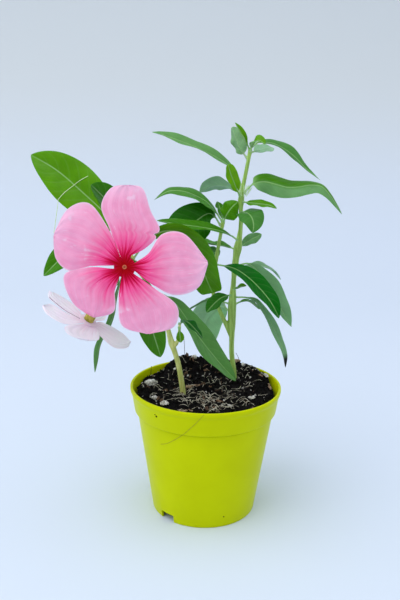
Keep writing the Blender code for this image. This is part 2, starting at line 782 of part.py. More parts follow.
def seat(path, names, half_width):
    """The index of the first point where an end of this half-width, cut square, is clear of the stems."""
    clear = clearance(path, names)
    along = np.concatenate([[0], np.cumsum(np.linalg.norm(np.diff(path, axis=0), axis=1))])
    slant = np.sqrt(np.clip(1 - np.gradient(clear, along) ** 2, 0, 1))
    return np.argmax(clear > GAP + 1.3 * half_width * slant)


# Leaves


def blade_half_width(share, leaf):
    """A leaf's half-width: a short stalk, then an oblong blade, mostly widest a little past its middle."""
    blade = np.clip((share - PETIOLE_SHARE) / (1 - PETIOLE_SHARE), 0, 1)
    widest = leaf.foot / (leaf.foot + leaf.tip)
    peak = widest**leaf.foot * (1 - widest) ** leaf.tip
    half = leaf.width / 2 * blade**leaf.foot * (1 - blade) ** leaf.tip / peak
    return np.maximum(half, PETIOLE_HALF_WIDTH)


def leaf_grid(leaf, path, columns):
    tangents, normals = carried_frames(path, (0.0, 0.0, 1.0))
    across = np.cross(tangents, normals)
    share = np.linspace(0, 1, len(path))
    turn = np.radians(leaf.roll + leaf.twist * share)[:, None]
    upward = np.cos(turn) * normals + np.sin(turn) * across
    sideways = np.cos(turn) * across - np.sin(turn) * normals
    half = blade_half_width(share, leaf)
    fold = math.radians(leaf.fold)
    grid = np.empty((len(path), columns + 1, 3))
    for j, side in enumerate(np.linspace(-1, 1, columns + 1)):
        wave = WAVE_HEIGHT * np.sin(2 * math.pi * WAVES * share + (1.3 if side > 0 else 0.0))
        lift = abs(side) * math.sin(fold) * half + wave * side**2 * np.minimum(1, half / 4)
        grid[:, j] = path + (side * math.cos(fold) * half)[:, None] * sideways + lift[:, None] * upward
    return grid


def make_leaf(name, leaf):
    fine = smooth_path(leaf.midrib, 240)
    stems = {"left_shoot": ("left", "left_shoot"), "side": ("side", "right")}.get(leaf.stem, (leaf.stem,))
    start = seat(fine, stems, PETIOLE_HALF_WIDTH)
    length = np.linalg.norm(np.diff(fine[start:], axis=0), axis=1).sum()
    rows, columns = (10, 4) if length > LONG_LEAF else (8, 2)
    path = evenly(fine[start:], rows)
    share = np.linspace(0, 1, rows + 1)[:, None]
    middle = 1 - np.abs(np.linspace(-1, 1, columns + 1))[None, :]
    stalk = np.clip(1 - share / (2 * PETIOLE_SHARE), 0, 1)
    thickness = BLADE_HALF_THICKNESS + (PETIOLE_HALF_WIDTH - BLADE_HALF_THICKNESS) * stalk * middle
    tone = "leaf_young" if name in YOUNG_LEAVES else "leaf_green"
    return add_object(name, sheet_solid(leaf_grid(leaf, path, columns), thickness), tone)


# Blooms


def bloom_axes(bloom):
    """The bloom's facing direction, its right and its up."""
    facing = unit(np.array(bloom.throat) - np.array(bloom.base))
    right = unit(np.cross((0.0, 0.0, 1.0), facing))
    return facing, right, np.cross(facing, right)


def petal_grid(bloom, petal, rows, columns):
    """Points of one petal, from its foot at the throat to its tip, bowed forward and bent back there."""
    facing, right, up = bloom_axes(bloom)
    edges = [smooth_path([(*point, 0.0) for point in (*edge, petal.tip)], rows + 1) for edge in petal[:2]]
    grid = np.empty((rows + 1, columns + 1, 3))
    for i in range(rows + 1):
        for j in range(columns + 1):
            side = j / columns
            x, y, _ = edges[0][i] * (1 - side) + edges[1][i] * side
            share = i / (rows + 1)
            bow = 0.8 * math.sin(math.pi * share) - bloom.reflex * (math.hypot(x, y) / 32) ** 2
            bow -= 0.8 * (2 * side - 1) ** 2 * math.sin(math.pi * min(1.0, 1.1 * share))
            grid[i, j] = np.array(bloom.throat) + x * right + y * up + bow * facing
    return grid


def make_bloom(name, bloom, material_name):
    facing, right, up = bloom_axes(bloom)
    throat, base = np.array(bloom.throat), np.array(bloom.base)
    length = np.linalg.norm(throat - base)
    stations = np.array([0.0, 0.25, 0.55, 0.78, 0.9, 0.965, 1.0, 1.03])
    radii = [TUBE_RADIUS - 0.1, TUBE_RADIUS - 0.1, TUBE_RADIUS, bloom.swelling - 0.3, bloom.swelling]
    radii += [bloom.swelling - 0.1, bloom.collar_radius, bloom.collar_radius]
    path = base + stations[:, None] * length * facing
    corolla = add_object("bloom_" + name, tube(path, radii, TUBE_SIDES), material_name)
    petals = []
    for number, petal in enumerate(bloom.petals):
        grid = petal_grid(bloom, petal, PETAL_ROWS, PETAL_COLUMNS)
        root = (grid[:1] + 2 * throat) / 3
        solid = sheet_solid(np.concatenate([root, grid]), PETAL_HALF_THICKNESS)
        petals.append(add_object(f"petal_{number}", solid, material_name))
    return boolean(corolla, "UNION", petals)


def make_calyx(name, calyx):
    bloom = BLOOMS[calyx.bloom]
    facing, right, up = bloom_axes(bloom)
    foot = np.array(bloom.base) - (GAP + CUP_THICKNESS) * facing
    fine = smooth_path([*calyx.stalk, foot - 0.5 * facing, foot + 0.3 * facing], 120)
    start = seat(fine, ("left",), STALK_RADIUS)
    path = evenly(fine[start:], 6)
    stalk = add_object("calyx_" + name, tube(path, [STALK_RADIUS] * len(path), 8), "sepal_green")
    cup_path = np.array([foot - CUP_THICKNESS * facing, foot, foot + CUP_THICKNESS * facing])
    cup = tube(cup_path, [STALK_RADIUS + 0.15, CUP_RADIUS, CUP_RADIUS + 0.2], TUBE_SIDES)
    pieces = [add_object("cup", cup, "sepal_green")]
    for i in range(SEPAL_COUNT):
        angle = 2 * math.pi * i / SEPAL_COUNT + 0.3
        out = math.cos(angle) * right + math.sin(angle) * up
        root = foot + 0.2 * CUP_THICKNESS * facing + (CUP_RADIUS - 0.1) * out
        tip = root + SEPAL_LENGTH * facing + SEPAL_SPREAD * out
        route = smooth_path([root, (root + tip) / 2 + 0.3 * out, tip], 3)
        sepal = tube(route, [SEPAL_RADIUS, SEPAL_RADIUS, 0.8 * SEPAL_RADIUS, 0.4 * SEPAL_RADIUS], 5)
        pieces.append(add_object(f"sepal_{i}", sepal, "sepal_green"))
    return boolean(stalk, "UNION", pieces)


def main():
    clear_scene()
    make_pot()
    make_soil()
    make_stems()
    for name, leaf in LEAVES.items():
        make_leaf(name, leaf)
    for name, bloom in BLOOMS.items():
        make_bloom(name, bloom, {"main": "petal_pink", "pale": "petal_pale"}[name])
    for name, calyx in CALYCES.items():
        make_calyx(name, calyx)


main()
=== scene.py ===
import json
import math
from functools import partial

import bmesh
import bpy
import numpy as np
from mathutils import Matrix, Vector, noise
from mathutils.bvhtree import BVHTree

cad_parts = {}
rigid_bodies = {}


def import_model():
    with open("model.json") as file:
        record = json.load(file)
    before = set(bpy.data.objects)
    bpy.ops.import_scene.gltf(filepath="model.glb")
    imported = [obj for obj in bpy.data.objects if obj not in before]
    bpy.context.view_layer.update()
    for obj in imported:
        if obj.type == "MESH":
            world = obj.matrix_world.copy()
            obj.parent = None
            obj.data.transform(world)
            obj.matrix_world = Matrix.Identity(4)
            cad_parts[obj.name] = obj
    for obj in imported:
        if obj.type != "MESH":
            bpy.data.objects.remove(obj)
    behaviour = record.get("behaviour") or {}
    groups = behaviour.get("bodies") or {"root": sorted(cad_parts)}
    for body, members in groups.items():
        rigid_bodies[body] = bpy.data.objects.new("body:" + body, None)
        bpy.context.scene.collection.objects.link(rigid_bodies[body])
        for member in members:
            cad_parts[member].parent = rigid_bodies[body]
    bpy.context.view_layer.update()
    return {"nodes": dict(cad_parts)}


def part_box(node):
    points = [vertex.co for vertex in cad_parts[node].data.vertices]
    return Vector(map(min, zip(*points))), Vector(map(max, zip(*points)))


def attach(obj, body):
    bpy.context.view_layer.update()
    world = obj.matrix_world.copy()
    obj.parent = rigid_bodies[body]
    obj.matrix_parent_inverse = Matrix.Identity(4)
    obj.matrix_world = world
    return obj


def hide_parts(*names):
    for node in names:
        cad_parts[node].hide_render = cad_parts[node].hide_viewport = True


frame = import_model()
MM = 0.001

# %% [markdown]
# ## The camera
# A product picture is judged from one place first, so the camera comes before any piece. It stands 20 cm above
# the floor and 35 cm from the pot, tilted down by about 15 degrees, as a phone is held over a table. A lens of
# 45 mm on a 36 mm sensor gives the picture's field of view.
# %% Set up the camera
CAMERA_PLACE = (0.0, -0.351, 0.202)
CAMERA_PITCH, CAMERA_YAW, CAMERA_ROLL = 14.95, 0.587, 1.05


def placed(name, data):
    """An object in the scene for a mesh, a curve, a lamp or a camera."""
    made = bpy.data.objects.new(name, data)
    bpy.context.scene.collection.objects.link(made)
    return made


camera = placed("camera", bpy.data.cameras.new("camera"))
camera.data.lens = 45.0
camera.data.sensor_width = 36.0
camera.data.clip_start = 0.01
turn = Matrix.Rotation(math.radians(CAMERA_YAW), 4, "Z")
turn @= Matrix.Rotation(math.radians(90 - CAMERA_PITCH), 4, "X")
turn @= Matrix.Rotation(math.radians(CAMERA_ROLL), 4, "Z")
camera.matrix_world = Matrix.Translation(CAMERA_PLACE) @ turn
bpy.context.scene.camera = camera
print("camera at", CAMERA_PLACE, "pitch", CAMERA_PITCH)

# %% [markdown]
# ## Curves and skins
# A leaf, a petal and a tube are all the same thing to a modeller: a row of closed rings of points, one after
# the other along a path, with quads between them. So one helper skins rings, and the pieces differ only in
# how their rings are worked out. A Catmull-Rom curve passes through every given point, which suits shapes
# that are known at a few stations only.
# %% Vectors, curves and rings
def unit(vectors):
    vectors = np.asarray(vectors, float)
    return vectors / np.maximum(np.linalg.norm(vectors, axis=-1, keepdims=True), 1e-12)


def smooth(values, at):
    """Values at fractional places along a list, on a Catmull-Rom curve through its members."""
    values = np.asarray(values, float)
    knots = np.concatenate([2 * values[:1] - values[1:2], values, 2 * values[-1:] - values[-2:-1]])
    before = np.clip(np.floor(at).astype(int), 0, len(values) - 2)
    t = (at - before).reshape(-1, *[1] * (values.ndim - 1))
    p0, p1, p2, p3 = (knots[before + k] for k in range(4))
    line = 2 * p1 + (p2 - p0) * t + (2 * p0 - 5 * p1 + 4 * p2 - p3) * t**2
    return 0.5 * (line + (3 * p1 - p0 - 3 * p2 + p3) * t**3)


def curve_through(points, count):
    """count + 1 evenly spaced points on a curve through the given ones."""
    fine = smooth(points, np.linspace(0, len(points) - 1, 40 * len(points)))
    along = np.concatenate([[0], np.cumsum(np.linalg.norm(np.diff(fine, axis=0), axis=1))])
    wanted = np.linspace(0, along[-1], count + 1)
    return np.stack([np.interp(wanted, along, fine[:, k]) for k in range(fine.shape[1])], axis=1)


def skin(rings, close_start=True, close_end=True):
    """Points and faces of a closed skin over a row of rings, each of the same number of points."""
    count, size = rings.shape[:2]
    faces = [
        (i * size + j, i * size + (j + 1) % size, (i + 1) * size + (j + 1) % size, (i + 1) * size + j)
        for i in range(count - 1)
        for j in range(size)
    ]
    if close_start:
        faces.append(tuple(range(size)))
    if close_end:
        faces.append(tuple((count - 1) * size + j for j in reversed(range(size))))
    return rings.reshape(-1, 3), faces


# %% Meshes and finished pieces
def to_mesh(name, work, finish=None):
    """A mesh of what was built in a bmesh. One with a finish is a visible piece, and is shaded smooth."""
    mesh = bpy.data.meshes.new(name)
    work.to_mesh(mesh)
    work.free()
    if finish:
        mesh.materials.append(finish)
        mesh.shade_smooth()
    return mesh


def evaluated(thing):
    """A plain mesh of a thing with its modifiers applied."""
    graph = bpy.context.evaluated_depsgraph_get()
    return bpy.data.meshes.new_from_object(thing.evaluated_get(graph))


def piece(name, points, faces, materials, worn=None, uv=None, sharp=60.0):
    """A smooth-shaded object. worn is each face's material, and uv each point's place on the pattern."""
    mesh = bpy.data.meshes.new(name)
    mesh.from_pydata(np.asarray(points).tolist(), [], faces)
    for finish in materials:
        mesh.materials.append(finish)
    if worn is not None:
        mesh.polygons.foreach_set("material_index", worn)
    if uv is not None:
        layer = mesh.uv_layers.new(name="pattern")
        corners = np.empty(len(mesh.loops), int)
        mesh.loops.foreach_get("vertex_index", corners)
        layer.uv.foreach_set("vector", np.asarray(uv, np.float32)[corners].ravel())
    work = bmesh.new()
    work.from_mesh(mesh)
    bmesh.ops.recalc_face_normals(work, faces=work.faces)
    work.to_mesh(mesh)
    work.free()
    mesh.shade_smooth()
    mesh.set_sharp_from_angle(angle=math.radians(sharp))
    return placed(name, mesh)


def settle(thing, slot, *nodes):
    """Hands a finished piece to the frame's root body and hides the CAD nodes it stands for. Its slot is not
    used.
    """
    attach(thing, "root")
    if nodes:
        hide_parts(*nodes)
    return thing


def paint(thing, name, values):
    """Stores one number for each point of a piece, which a material can read by its name."""
    data = thing.data.attributes.new(name, "FLOAT", "POINT")
    data.data.foreach_set("value", np.broadcast_to(values, len(thing.data.vertices)).astype(np.float32))


# %% [markdown]
# ## Reading a CAD solid
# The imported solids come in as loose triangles, so a copy is merged before anything is measured on it. A leaf's
# solid is a row of rings from its foot to its tip: a long leaf has rings of ten points, a short one of six.
# Starting from the ring beside the stem and stepping from neighbour to neighbour gives the rings in order.
# %% Merge a copy of a solid
MERGE = 0.002 * MM
RING_SIZES = {110: 10, 54: 6}


def merged(node):
    work = bmesh.new()
    work.from_mesh(frame["nodes"][node].data)
    bmesh.ops.remove_doubles(work, verts=work.verts, dist=MERGE)
    return work


def surface_of(node):
    work = merged(node)
    tree = BVHTree.FromBMesh(work)
    work.free()
    return tree


def leaf_rings(node, stem):
    """The rings of points of a leaf's solid, from the stem to the tip."""
    work = merged(node)
    points = np.array([v.co for v in work.verts])
    near = [[edge.other_vert(v).index for edge in v.link_edges] for v in work.verts]
    work.free()
    size = RING_SIZES[len(points)]
    foot = points[np.argmin([stem.find_nearest(Vector(p))[3] for p in points])]
    close = np.argsort(np.linalg.norm(points - foot, axis=1))[: 3 * size]
    ahead = points[close].mean(0) - foot
    ring = close[np.argsort((points[close] - foot) @ ahead)][:size]
    rings, seen = [ring], set(ring)
    while len(seen) < len(points):
        ring = sorted({k for i in rings[-1] for k in near[i]} - seen)
        rings.append(ring)
        seen |= set(ring)
    return np.array([points[list(r)] for r in rings])


stem_surfaces = {side: surface_of("stem_" + side) for side in ("left", "right")}
leaves = sorted(n for n in frame["nodes"] if n.startswith("leaf_"))
rings_of = {n: leaf_rings(n, stem_surfaces["left" if "_left_" in n else "right"]) for n in leaves}
print("leaves read:", len(leaves), "stations:", sum(len(r) for r in rings_of.values()))

# %% [markdown]
# ## Building materials in code
# A material is a small graph. A few short helpers keep its code readable: one adds a node and fills its inputs
# from values or from other nodes, the others calculate, mix two colours, or read a noise. What several
# materials share, such as a fine grain or the veins of a leaf, is a node group with named sockets, so each
# material sets only its own values.
# %% Node helpers
def add(tree, kind, inputs=None, **settings):
    made = tree.nodes.new(kind)
    for key, value in settings.items():
        setattr(made, key, value)
    for key, value in (inputs or {}).items():
        if isinstance(value, bpy.types.NodeSocket):
            tree.links.new(value, made.inputs[key])
        else:
            made.inputs[key].default_value = value
    return made


def maths(tree, operation, *values):
    return add(tree, "ShaderNodeMath", dict(enumerate(values)), operation=operation).outputs[0]


def ramp(tree, value, low, high, start=0.0, end=1.0):
    """start where the value is low or less, end where it is high or more, and smooth between."""
    values = {"Value": value, "From Min": low, "From Max": high, "To Min": start, "To Max": end}
    return add(tree, "ShaderNodeMapRange", values, interpolation_type="SMOOTHSTEP").outputs[0]


def mixed(tree, share, one, other, blend="MIX"):
    """One colour turning into the other as share goes from 0 to 1. A share below 0 turns it the other way."""
    settings = {"data_type": "RGBA", "blend_type": blend, "clamp_factor": False}
    return add(tree, "ShaderNodeMix", {0: share, 6: one, 7: other}, **settings).outputs[2]


def tinted(tree, share, body, tint):
    """A colour that turns into itself multiplied by a tint."""
    return mixed(tree, share, body, mixed(tree, 1.0, body, tint, "MULTIPLY"))


def noisy(tree, place, scale, detail, roughness=0.5):
    values = {"Vector": place, "Scale": scale, "Detail": detail, "Roughness": roughness}
    return add(tree, "ShaderNodeTexNoise", values).outputs[0]


def raised(tree, height, distance, strength, **finer):
    """A normal that makes a height show, on top of a finer Normal where one is given."""
    values = {"Strength": strength, "Distance": distance, "Height": height, **finer}
    return add(tree, "ShaderNodeBump", values).outputs[0]


def stored(tree, name):
    """The number that a piece stores for each point under a name."""
    return add(tree, "ShaderNodeAttribute", attribute_name=name).outputs["Fac"]


def on_pattern(tree):
    """The two coordinates of a point on its piece's own pattern."""
    place = add(tree, "ShaderNodeUVMap", uv_map="pattern").outputs[0]
    return add(tree, "ShaderNodeSeparateXYZ", {0: place}).outputs[:2]


# %% Colours, groups and materials
def colour(red, green, blue):
    """A colour picked as screen values from 0 to 255, in the linear values that Blender works with."""
    shares = [c / 255 for c in (red, green, blue)]
    return tuple(c / 12.92 if c <= 0.04045 else ((c + 0.055) / 1.055) ** 2.4 for c in shares) + (1.0,)


def group(name, inputs, outputs):
    """An empty shader node group with its sockets, and its input and output nodes."""
    made = bpy.data.node_groups.new(name, "ShaderNodeTree")
    for title, value in inputs.items():
        kind = "NodeSocketColor" if isinstance(value, tuple) else "NodeSocketFloat"
        socket = made.interface.new_socket(name=title, in_out="INPUT", socket_type=kind)
        socket.default_value = value
    for title, kind in outputs.items():
        made.interface.new_socket(name=title, in_out="OUTPUT", socket_type="NodeSocket" + kind)
    return made, made.nodes.new("NodeGroupInput"), made.nodes.new("NodeGroupOutput")


def put_out(tree, result, **values):
    """Wires a group's results to its outputs of the same names."""
    for title, value in values.items():
        tree.links.new(value, result.inputs[title])


def material(name, roughness, gloss=0.5, **values):
    """A material with its Principled shader. Values that are alike all over are set on the shader."""
    made = bpy.data.materials.new(name)
    made.use_nodes = True
    shader = made.node_tree.nodes["Principled BSDF"]
    shader.inputs["Roughness"].default_value = roughness
    shader.inputs["Specular IOR Level"].default_value = gloss
    for title, value in values.items():
        shader.inputs[title.replace("_", " ").title()].default_value = value
    return made, made.node_tree, shader


def dress(tree, shader, body, normal):
    """Wires a colour and a normal that change over the surface to the shader."""
    tree.links.new(body, shader.inputs["Base Color"])
    tree.links.new(normal, shader.inputs["Normal"])


# %% [markdown]
# ## Shared effects
# Nothing that grows is one even colour. `grain` is a soft noise in the piece's own space, which gives both a
# value for mottling colours and a normal for a fine uneven surface. `blade_veins` draws a leaf's midrib and
# the pairs of side veins that arch from it towards the tip. `petal_rays` sorts a petal by its distance from
# the throat and breaks each border into rays. The `Frequency` input counts features per metre.
# %% The grain group
grain, given, result = group(
    "grain",
    {"Frequency": 400.0, "Detail": 3.0, "Stretch": 1.0, "Depth": 0.05 * MM, "Strength": 0.5},
    {"Value": "Float", "Normal": "Vector"},
)
place = add(grain, "ShaderNodeTexCoord").outputs["Object"]
upright = add(grain, "ShaderNodeCombineXYZ", {"X": 1.0, "Y": 1.0, "Z": given.outputs["Stretch"]})
stretched = add(grain, "ShaderNodeVectorMath", {0: place, 1: upright.outputs[0]}, operation="MULTIPLY")
cloud = noisy(grain, stretched.outputs[0], given.outputs["Frequency"], given.outputs["Detail"], 0.55)
relief = raised(grain, cloud, given.outputs["Depth"], given.outputs["Strength"])
put_out(grain, result, Value=ramp(grain, cloud, 0.32, 0.68), Normal=relief)


def grained(tree, frequency, depth=0.05, strength=0.5, detail=3.0, stretch=1.0):
    """Places the grain group with its own values. depth is in millimetres."""
    made = add(tree, "ShaderNodeGroup", node_tree=grain)
    values = {"Frequency": frequency, "Detail": detail, "Stretch": stretch, "Depth": depth * MM}
    for title, value in {**values, "Strength": strength}.items():
        made.inputs[title].default_value = value
    return made.outputs["Value"], made.outputs["Normal"]


# %% The vein group
VEIN_LEAN = 0.17

blade_veins, given, result = group(
    "blade_veins",
    {"Pairs": 10.0, "Midrib": 0.42 * MM, "Side Vein": 0.14},
    {"Midrib": "Float", "Veins": "Float", "Stalk": "Float", "Height": "Float"},
)
calc, fade = partial(maths, blade_veins), partial(ramp, blade_veins)
along, across = on_pattern(blade_veins)
# off_middle is 0 on the midrib and 1 at the margin, and from_vein is 0 on a side vein
off_middle = calc("ABSOLUTE", calc("MULTIPLY_ADD", across, 2.0, -1.0))
lean = calc("MULTIPLY", calc("POWER", off_middle, 1.3), VEIN_LEAN)
phase = calc("MULTIPLY", calc("SUBTRACT", along, lean), given.outputs["Pairs"])
from_vein = calc("ABSOLUTE", calc("SUBTRACT", calc("FRACT", phase), 0.5))
veins = fade(from_vein, 0.0, given.outputs["Side Vein"], 1.0, 0.0)
veins = calc("MULTIPLY", veins, fade(off_middle, 0.75, 1.0, 1.0, 0.2))
from_middle = calc("MULTIPLY", off_middle, stored(blade_veins, "half_width"))
rib_core = calc("MULTIPLY", given.outputs["Midrib"], 0.35)
midrib = fade(from_middle, rib_core, given.outputs["Midrib"], 1.0, 0.0)
midrib = calc("MULTIPLY", midrib, fade(along, 0.8, 1.0, 1.0, 0.35))
stalk = fade(along, 0.05, 0.16, 1.0, 0.0)
pillow = calc("MULTIPLY", calc("POWER", from_vein, 0.5), 0.6)
height = calc("SUBTRACT", pillow, calc("MULTIPLY", midrib, 0.8))
put_out(blade_veins, result, Midrib=midrib, Veins=veins, Stalk=stalk, Height=height)

# %% The petal group
petal_rays, given, result = group(
    "petal_rays",
    {
        "Pore": colour(206, 120, 84),
        "Eye": colour(172, 0, 14),
        "Ray": colour(222, 12, 80),
        "Inner": colour(253, 80, 150),
        "Outer": colour(252, 163, 200),
        "Edge": colour(254, 200, 226),
        "Streak": colour(252, 226, 240),
        "Eye Reach": 0.27,
        "Inner Reach": 0.62,
    },
    {"Colour": "Color", "Height": "Float"},
)
calc, fade = partial(maths, petal_rays), partial(ramp, petal_rays)
across, along = on_pattern(petal_rays)
eye_reach = given.outputs["Eye Reach"]


def streaks(across_by, scale, detail, along_by=1.0):
    """A noise drawn out along the petal, because it runs faster across it."""
    places = {0: calc("MULTIPLY", across, across_by), 1: calc("MULTIPLY", along, along_by)}
    return noisy(petal_rays, add(petal_rays, "ShaderNodeCombineXYZ", places).outputs[0], scale, detail)


rays, lines, marks = streaks(9.0, 1.6, 2.0), streaks(34.0, 2.0, 3.0), streaks(60.0, 1.0, 1.0, along_by=7.0)
reach = calc("SUBTRACT", along, calc("MULTIPLY_ADD", rays, 0.38, -0.19))
reach = calc("SUBTRACT", reach, calc("MULTIPLY_ADD", lines, 0.12, -0.06))
place = add(petal_rays, "ShaderNodeTexCoord").outputs["Object"]
clouds = noisy(petal_rays, place, 150.0, 3.0)

# %% The petal's layers of colour, from the lowest to the topmost
LAYERS = (
    # paler towards the edge and along fine lines
    ("Edge", fade(along, 0.7, 1.0)),
    ("Edge", fade(lines, 0.35, 0.75, 0.0, 0.35)),
    # a deeper pink on the inner half
    ("Inner", fade(reach, calc("MULTIPLY", eye_reach, 0.8), given.outputs["Inner Reach"], 1.0, 0.0)),
    # pale scratches and blotches, from two noises
    ("Streak", fade(marks, 0.7, 0.78, 0.0, 0.8)),
    ("Streak", calc("MULTIPLY", fade(clouds, 0.63, 0.72, 0.0, 0.5), fade(reach, 0.4, 0.55))),
    # rays, and the dark eye that they leave from
    ("Ray", fade(reach, calc("MULTIPLY", eye_reach, 0.6), calc("MULTIPLY", eye_reach, 1.1), 1.0, 0.0)),
    ("Eye", fade(reach, calc("MULTIPLY", eye_reach, 0.3), calc("MULTIPLY", eye_reach, 0.75), 1.0, 0.0)),
    # a thin pale margin, and the narrow mouth of the tube
    ("Streak", fade(stored(petal_rays, "rim"), 0.93, 1.0, 0.0, 0.55)),
    ("Pore", fade(along, 0.018, 0.03, 1.0, 0.0)),
)
body = given.outputs["Outer"]
for title, share in LAYERS:
    body = mixed(petal_rays, share, body, given.outputs[title])
put_out(petal_rays, result, Colour=body, Height=lines)
print("node groups:", [g.name for g in bpy.data.node_groups])

# %% [markdown]
# ## Leaf finishes
# A periwinkle's leaf is glossy and deep green above, with a pale midrib, and dull grey-green below. Young
# leaves are yellower. Both faces of a leaf are one piece with two materials, and each leaf carries a number,
# `tone`, from 0 for the oldest and darkest to 1 for the youngest, so one pair of materials serves them all.
# Two more numbers say how waxy and how withered it is. The wax number also paints sheen and light onto leaves
# that lie in shade, and the other also paints shade onto a leaf in the dark, or light where it's below 0. A
# little subsurface scattering lets light in.
# %% Leaf materials
WAX_AND_PAINTED_LIGHT, DRY_TIP_AND_PAINTED_SHADE = colour(142, 186, 146), colour(22, 24, 20)
PATCH_TINT, SPECK_TINT = (0.55, 0.6, 0.5, 1.0), (1.5, 1.35, 1.6, 1.0)


def leaf_finish(name, dark, bright, vein, roughness, gloss, vein_shares, relief):
    """vein_shares: how much the midrib and side veins show. relief: mm, below 0 where the midrib rises."""
    inside = {"subsurface_weight": 0.1, "subsurface_scale": 0.5 * MM, "subsurface_radius": (0.3, 1.0, 0.1)}
    made, tree, shader = material(name, roughness, gloss, **inside)
    calc = partial(maths, tree)
    veins = add(tree, "ShaderNodeGroup", node_tree=blade_veins).outputs
    tone, wax, wither = (stored(tree, title) for title in ("tone", "wax", "wither"))
    patches, _ = grained(tree, 120, detail=2.0)
    specks, bumps = grained(tree, 2600, depth=0.03, strength=0.35)
    body = mixed(tree, tone, colour(*dark), colour(*bright))
    # a pale grey-green for a bloom of wax, which is also painted sheen and painted light on leaves in shade
    body = mixed(tree, wax, body, WAX_AND_PAINTED_LIGHT)
    body = tinted(tree, calc("MULTIPLY", patches, 0.35), body, PATCH_TINT)
    body = tinted(tree, calc("MULTIPLY", specks, 0.2), body, SPECK_TINT)
    body = mixed(tree, calc("MULTIPLY", veins["Veins"], vein_shares[1]), body, colour(*vein))
    free_of_wax_and_light = calc("MULTIPLY_ADD", wax, -0.9, 1.0)
    ribs = calc("MULTIPLY", calc("MULTIPLY", veins["Midrib"], vein_shares[0]), free_of_wax_and_light)
    body = mixed(tree, calc("MAXIMUM", ribs, veins["Stalk"]), body, colour(*vein))
    # near-black for the dry tip of the withered leaf, and painted shade on a whole leaf in the dark; below 0 it
    # is painted light
    body = mixed(tree, wither, body, DRY_TIP_AND_PAINTED_SHADE)
    dress(tree, shader, body, raised(tree, veins["Height"], relief * MM, 0.6, Normal=bumps))
    return made


leaf_top = leaf_finish("leaf_top", (0, 100, 4), (112, 176, 0), (160, 206, 130), 0.3, 0.12, (0.62, 0.05), 0.3)
leaf_under = leaf_finish(
    "leaf_underside", (92, 148, 96), (146, 190, 110), (176, 206, 150), 0.5, 0.2, (0.4, 0.1), -0.3
)
print("leaf finishes:", leaf_top.name, leaf_under.name)

# %% [markdown]
# ## Stem, petal, plastic and soil finishes
# The stems are a dull yellow-green with long streaks, so their grain is stretched along the height. Petals
# take their colours from the shared rays, with other values for the open bloom and for the fading one. The
# pot is one coloured plastic, smooth and a little glossy, with faint mottling from the mould.
# %% Three recipes for the other finishes
def streaked(name, pale, deep):
    made, tree, shader = material(name, 0.5, subsurface_weight=0.08, subsurface_scale=0.6 * MM)
    long_streaks, ridges = grained(tree, 900, depth=0.12, strength=0.6, stretch=0.08)
    patches, _ = grained(tree, 90, detail=2.0)
    body = mixed(tree, long_streaks, colour(*deep), colour(*pale))
    body = mixed(tree, maths(tree, "MULTIPLY", patches, 0.35), body, colour(*deep))
    dress(tree, shader, body, ridges)
    return made


PETAL_GLOSS = 0.05


def petal_finish(name, roughness, shading=(0.88, 0.8, 0.85, 1.0), **colours):
    inside = {"subsurface_weight": 0.12, "subsurface_scale": 0.5 * MM, "subsurface_radius": (1.0, 0.4, 0.6)}
    made, tree, shader = material(name, roughness, PETAL_GLOSS, **inside)
    rays = add(tree, "ShaderNodeGroup", node_tree=petal_rays)
    for title, value in colours.items():
        rays.inputs[title.title()].default_value = colour(*value)
    patches, bumps = grained(tree, 260, depth=0.05, strength=0.4)
    body = tinted(tree, maths(tree, "MULTIPLY", patches, 0.5), rays.outputs["Colour"], shading)
    dress(tree, shader, body, raised(tree, rays.outputs["Height"], 0.12 * MM, 0.45, Normal=bumps))
    return made


def mottled(name, roughness, one, other, frequency, depth, strength=0.5, gloss=0.5):
    """A plain finish of two near colours, with a fine uneven surface."""
    made, tree, shader = material(name, roughness, gloss)
    patches, bumps = grained(tree, frequency, depth=depth, strength=strength)
    dress(tree, shader, mixed(tree, patches, colour(*one), colour(*other)), bumps)
    return made


# %% Mix the finishes
stem_skin = streaked("stem_skin", (182, 220, 112), (136, 174, 66))
# the left stem's skin is a paler copy of the stem skin, painted light on a stem that stands in shade under the
# bloom and leaves
pale_stem_skin = streaked("pale_stem_skin", (236, 238, 150), (202, 210, 110))
sepal_skin = streaked("sepal_skin", (110, 165, 60), (60, 120, 30))
petal_pink = petal_finish("petal_pink", 0.5)
petal_back = petal_finish(
    "petal_pink_back", 0.6, inner=(244, 170, 205), ray=(240, 150, 190), eye=(235, 130, 170)
)
petal_pale = petal_finish(
    "petal_pale",
    0.5,
    shading=(0.97, 0.95, 0.98, 1.0),
    outer=(250, 247, 255),
    edge=(255, 236, 250),
    inner=(253, 240, 252),
    ray=(246, 226, 240),
    eye=(244, 216, 234),
)
tube_skin = mottled("tube_skin", 0.55, (198, 184, 72), (142, 138, 32), 500, 0.05)
pot_plastic = mottled("pot_plastic", 0.32, (199, 209, 0), (204, 215, 0), 45, 0.02, strength=0.15, gloss=0.05)
peat = mottled("peat", 0.95, (2, 2, 3), (25, 22, 21), 900, 0.6, strength=0.9, gloss=0.1)
perlite_skin = mottled("perlite", 0.85, (236, 234, 226), (140, 136, 124), 1100, 0.5, strength=0.9)
bark_skin = mottled("bark", 0.85, (58, 38, 28), (132, 104, 78), 500, 0.2, strength=0.8)
tan_skin = mottled("tan_chip", 0.8, (178, 154, 122), (104, 78, 58), 500, 0.2, strength=0.7)
fibre_skin = mottled("root_fibre", 0.75, (236, 230, 206), (96, 86, 68), 300, 0.02)
dark_fibre = mottled("dark_fibre", 0.7, (168, 164, 40), (124, 114, 34), 600, 0.02)
black_fibre = mottled("black_fibre", 0.7, (40, 30, 22), (20, 16, 14), 600, 0.02)
# a dried petal edge's mauve, which is also painted shade between two overlapping petals
mauve_line = mottled("mauve_line", 0.6, (118, 78, 112), (150, 110, 146), 300, 0.02)
silk = mottled("silk", 0.4, (232, 250, 205), (210, 240, 160), 600, 0.01)
hair_skin = mottled("hair_skin", 0.6, (226, 232, 200), (206, 216, 170), 300, 0.01)
print("materials:", len(bpy.data.materials))

